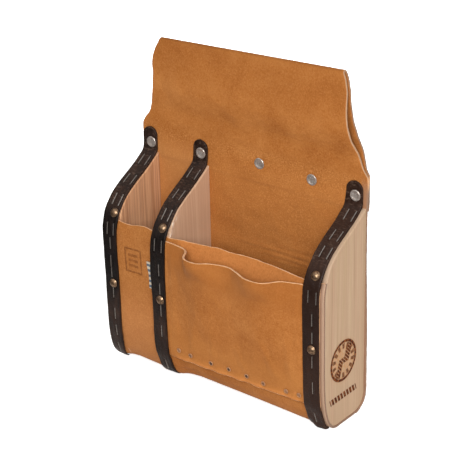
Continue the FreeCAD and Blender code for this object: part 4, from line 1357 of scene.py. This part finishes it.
def floor_material():
    material = bpy.data.materials.new("floor")
    material.use_nodes = True
    tree = material.node_tree
    shader = tree.nodes["Principled BSDF"]
    rays = add_node(tree, "LightPath").outputs
    geometry = add_node(tree, "NewGeometry").outputs
    x, y, _ = split_xyz(tree, geometry["Position"])
    seen = Value(tree, rays["Is Camera Ray"])
    # the floor glows white to the camera, more further out
    outward = (x * x + y * y).sqrt().smooth(0.35, 1.2)
    for key, value in {"Base Color": (0.90, 0.90, 0.90, 1), "Roughness": 0.9,
                       "Specular IOR Level": 0.05, "Emission Color": (1, 1, 1, 1),
                       "Emission Strength": seen * (outward * 0.6 + 0.62)}.items():
        connect(tree, value, shader.inputs[key])
    # mirrored in polished things it is nearly black away from the pouch
    far = (x.abs() - 0.125).max(y.abs() - 0.04).smooth(0.10, 0.22)
    black = add_node(tree, "BsdfDiffuse", {0: (0.03, 0.03, 0.03, 1)})
    mirrored = add_node(tree, "MixShader", {0: Value(tree, rays["Is Glossy Ray"]) * far,
                                            1: shader.outputs[0], 2: black.outputs[0]})
    # seen from below the floor is clear, so the underside can be looked at
    clear = add_node(tree, "BsdfTransparent")
    gate = add_node(tree, "MixShader", {0: seen * Value(tree, geometry["Backfacing"]),
                                        1: mirrored.outputs[0], 2: clear.outputs[0]})
    connect(tree, gate.outputs[0], tree.nodes["Material Output"].inputs[0])
    return material


def studio_floor():
    """Floor that curves up far behind into a backdrop."""
    bend_y, bend_radius, half_width, below = 2.2, 1.2, 5.0, 0.0004
    profile = [(-3.0, 0.0), (0.0, 0.0), (bend_y, 0.0)]
    for a in np.radians(np.arange(10, 91, 10)):
        profile.append((bend_y + bend_radius * math.sin(a),
                        bend_radius - bend_radius * math.cos(a)))
    profile.append((3.4, 4.0))
    verts = [(x, y, z - below) for y, z in profile for x in (-half_width, half_width)]
    faces = [[2 * i, 2 * i + 1, 2 * i + 3, 2 * i + 2] for i in range(len(profile) - 1)]
    floor = new_object("studio_floor", verts, faces, [floor_material()])
    floor.rotation_euler = (0, 0, math.radians(37.9))


def white_room():
    """Even white world; mirrored it is bright overhead, darker at the horizon."""
    world = bpy.data.worlds.new("studio")
    bpy.context.scene.world = world
    world.use_nodes = True
    tree = world.node_tree
    background = tree.nodes["Background"]
    background.inputs[0].default_value = (1.0, 1.0, 1.0, 1)
    rays = add_node(tree, "LightPath").outputs
    glossy = Value(tree, rays["Is Glossy Ray"])
    direct = Value(tree, rays["Is Camera Ray"])
    height = split_xyz(tree, add_node(tree, "TexCoord").outputs["Generated"])[2]
    mirrored = height.smooth(0.05, 0.85, 0.10, 1.25)
    plain = direct * 1.05 + (1.0 - direct) * WORLD_LIGHT
    connect(tree, glossy * mirrored + (1.0 - glossy) * plain, background.inputs[1])


def area_light(name, azimuth, elevation, size, power):
    data = bpy.data.lights.new(name, "AREA")
    data.shape = "RECTANGLE"
    data.size, data.size_y = size
    data.energy = power
    data.color = (1.0, 0.995, 0.985)
    ob = bpy.data.objects.new(name, data)
    x, y, z = toward(math.radians(azimuth), math.radians(elevation), LIGHT_DISTANCE)
    ob.location = (x, y, LIGHT_TARGET[2] + z)
    aim = Vector(LIGHT_TARGET) - Vector((x, y, LIGHT_TARGET[2] + z))
    ob.rotation_euler = aim.to_track_quat("-Z", "Y").to_euler()
    bpy.context.scene.collection.objects.link(ob)


def add_camera():
    back = Vector(toward(CAMERA_AZIMUTH, CAMERA_ELEVATION))
    level = Vector((math.cos(CAMERA_AZIMUTH), math.sin(CAMERA_AZIMUTH), 0))
    upright = back.cross(level)
    right = math.cos(CAMERA_ROLL) * level + math.sin(CAMERA_ROLL) * upright
    up = -math.sin(CAMERA_ROLL) * level + math.cos(CAMERA_ROLL) * upright
    place = Vector(CAMERA_TARGET) + back * CAMERA_DISTANCE
    data = bpy.data.cameras.new("camera")
    data.sensor_width = 36.0
    data.lens = 134.23
    data.shift_x = 0.0062
    data.shift_y = 0.0290
    data.clip_start = 0.05
    camera = bpy.data.objects.new("camera", data)
    camera.matrix_world = Matrix((*zip(right, up, back, place), (0, 0, 0, 1)))
    bpy.context.scene.collection.objects.link(camera)
    bpy.context.scene.camera = camera


studio_floor()
white_room()
# one wide soft source from the camera's side, a weaker one behind the pouch
area_light("key", azimuth=35.0, elevation=32.0, size=(1.3, 1.1), power=60.0)
area_light("rear", azimuth=214.0, elevation=20.0, size=(1.2, 1.0), power=34.0)
add_camera()
view = bpy.context.scene.view_settings
view.view_transform = "Standard"
view.look = "None"
view.exposure = 0.0
view.gamma = 1.0

bpy.context.view_layer.update()
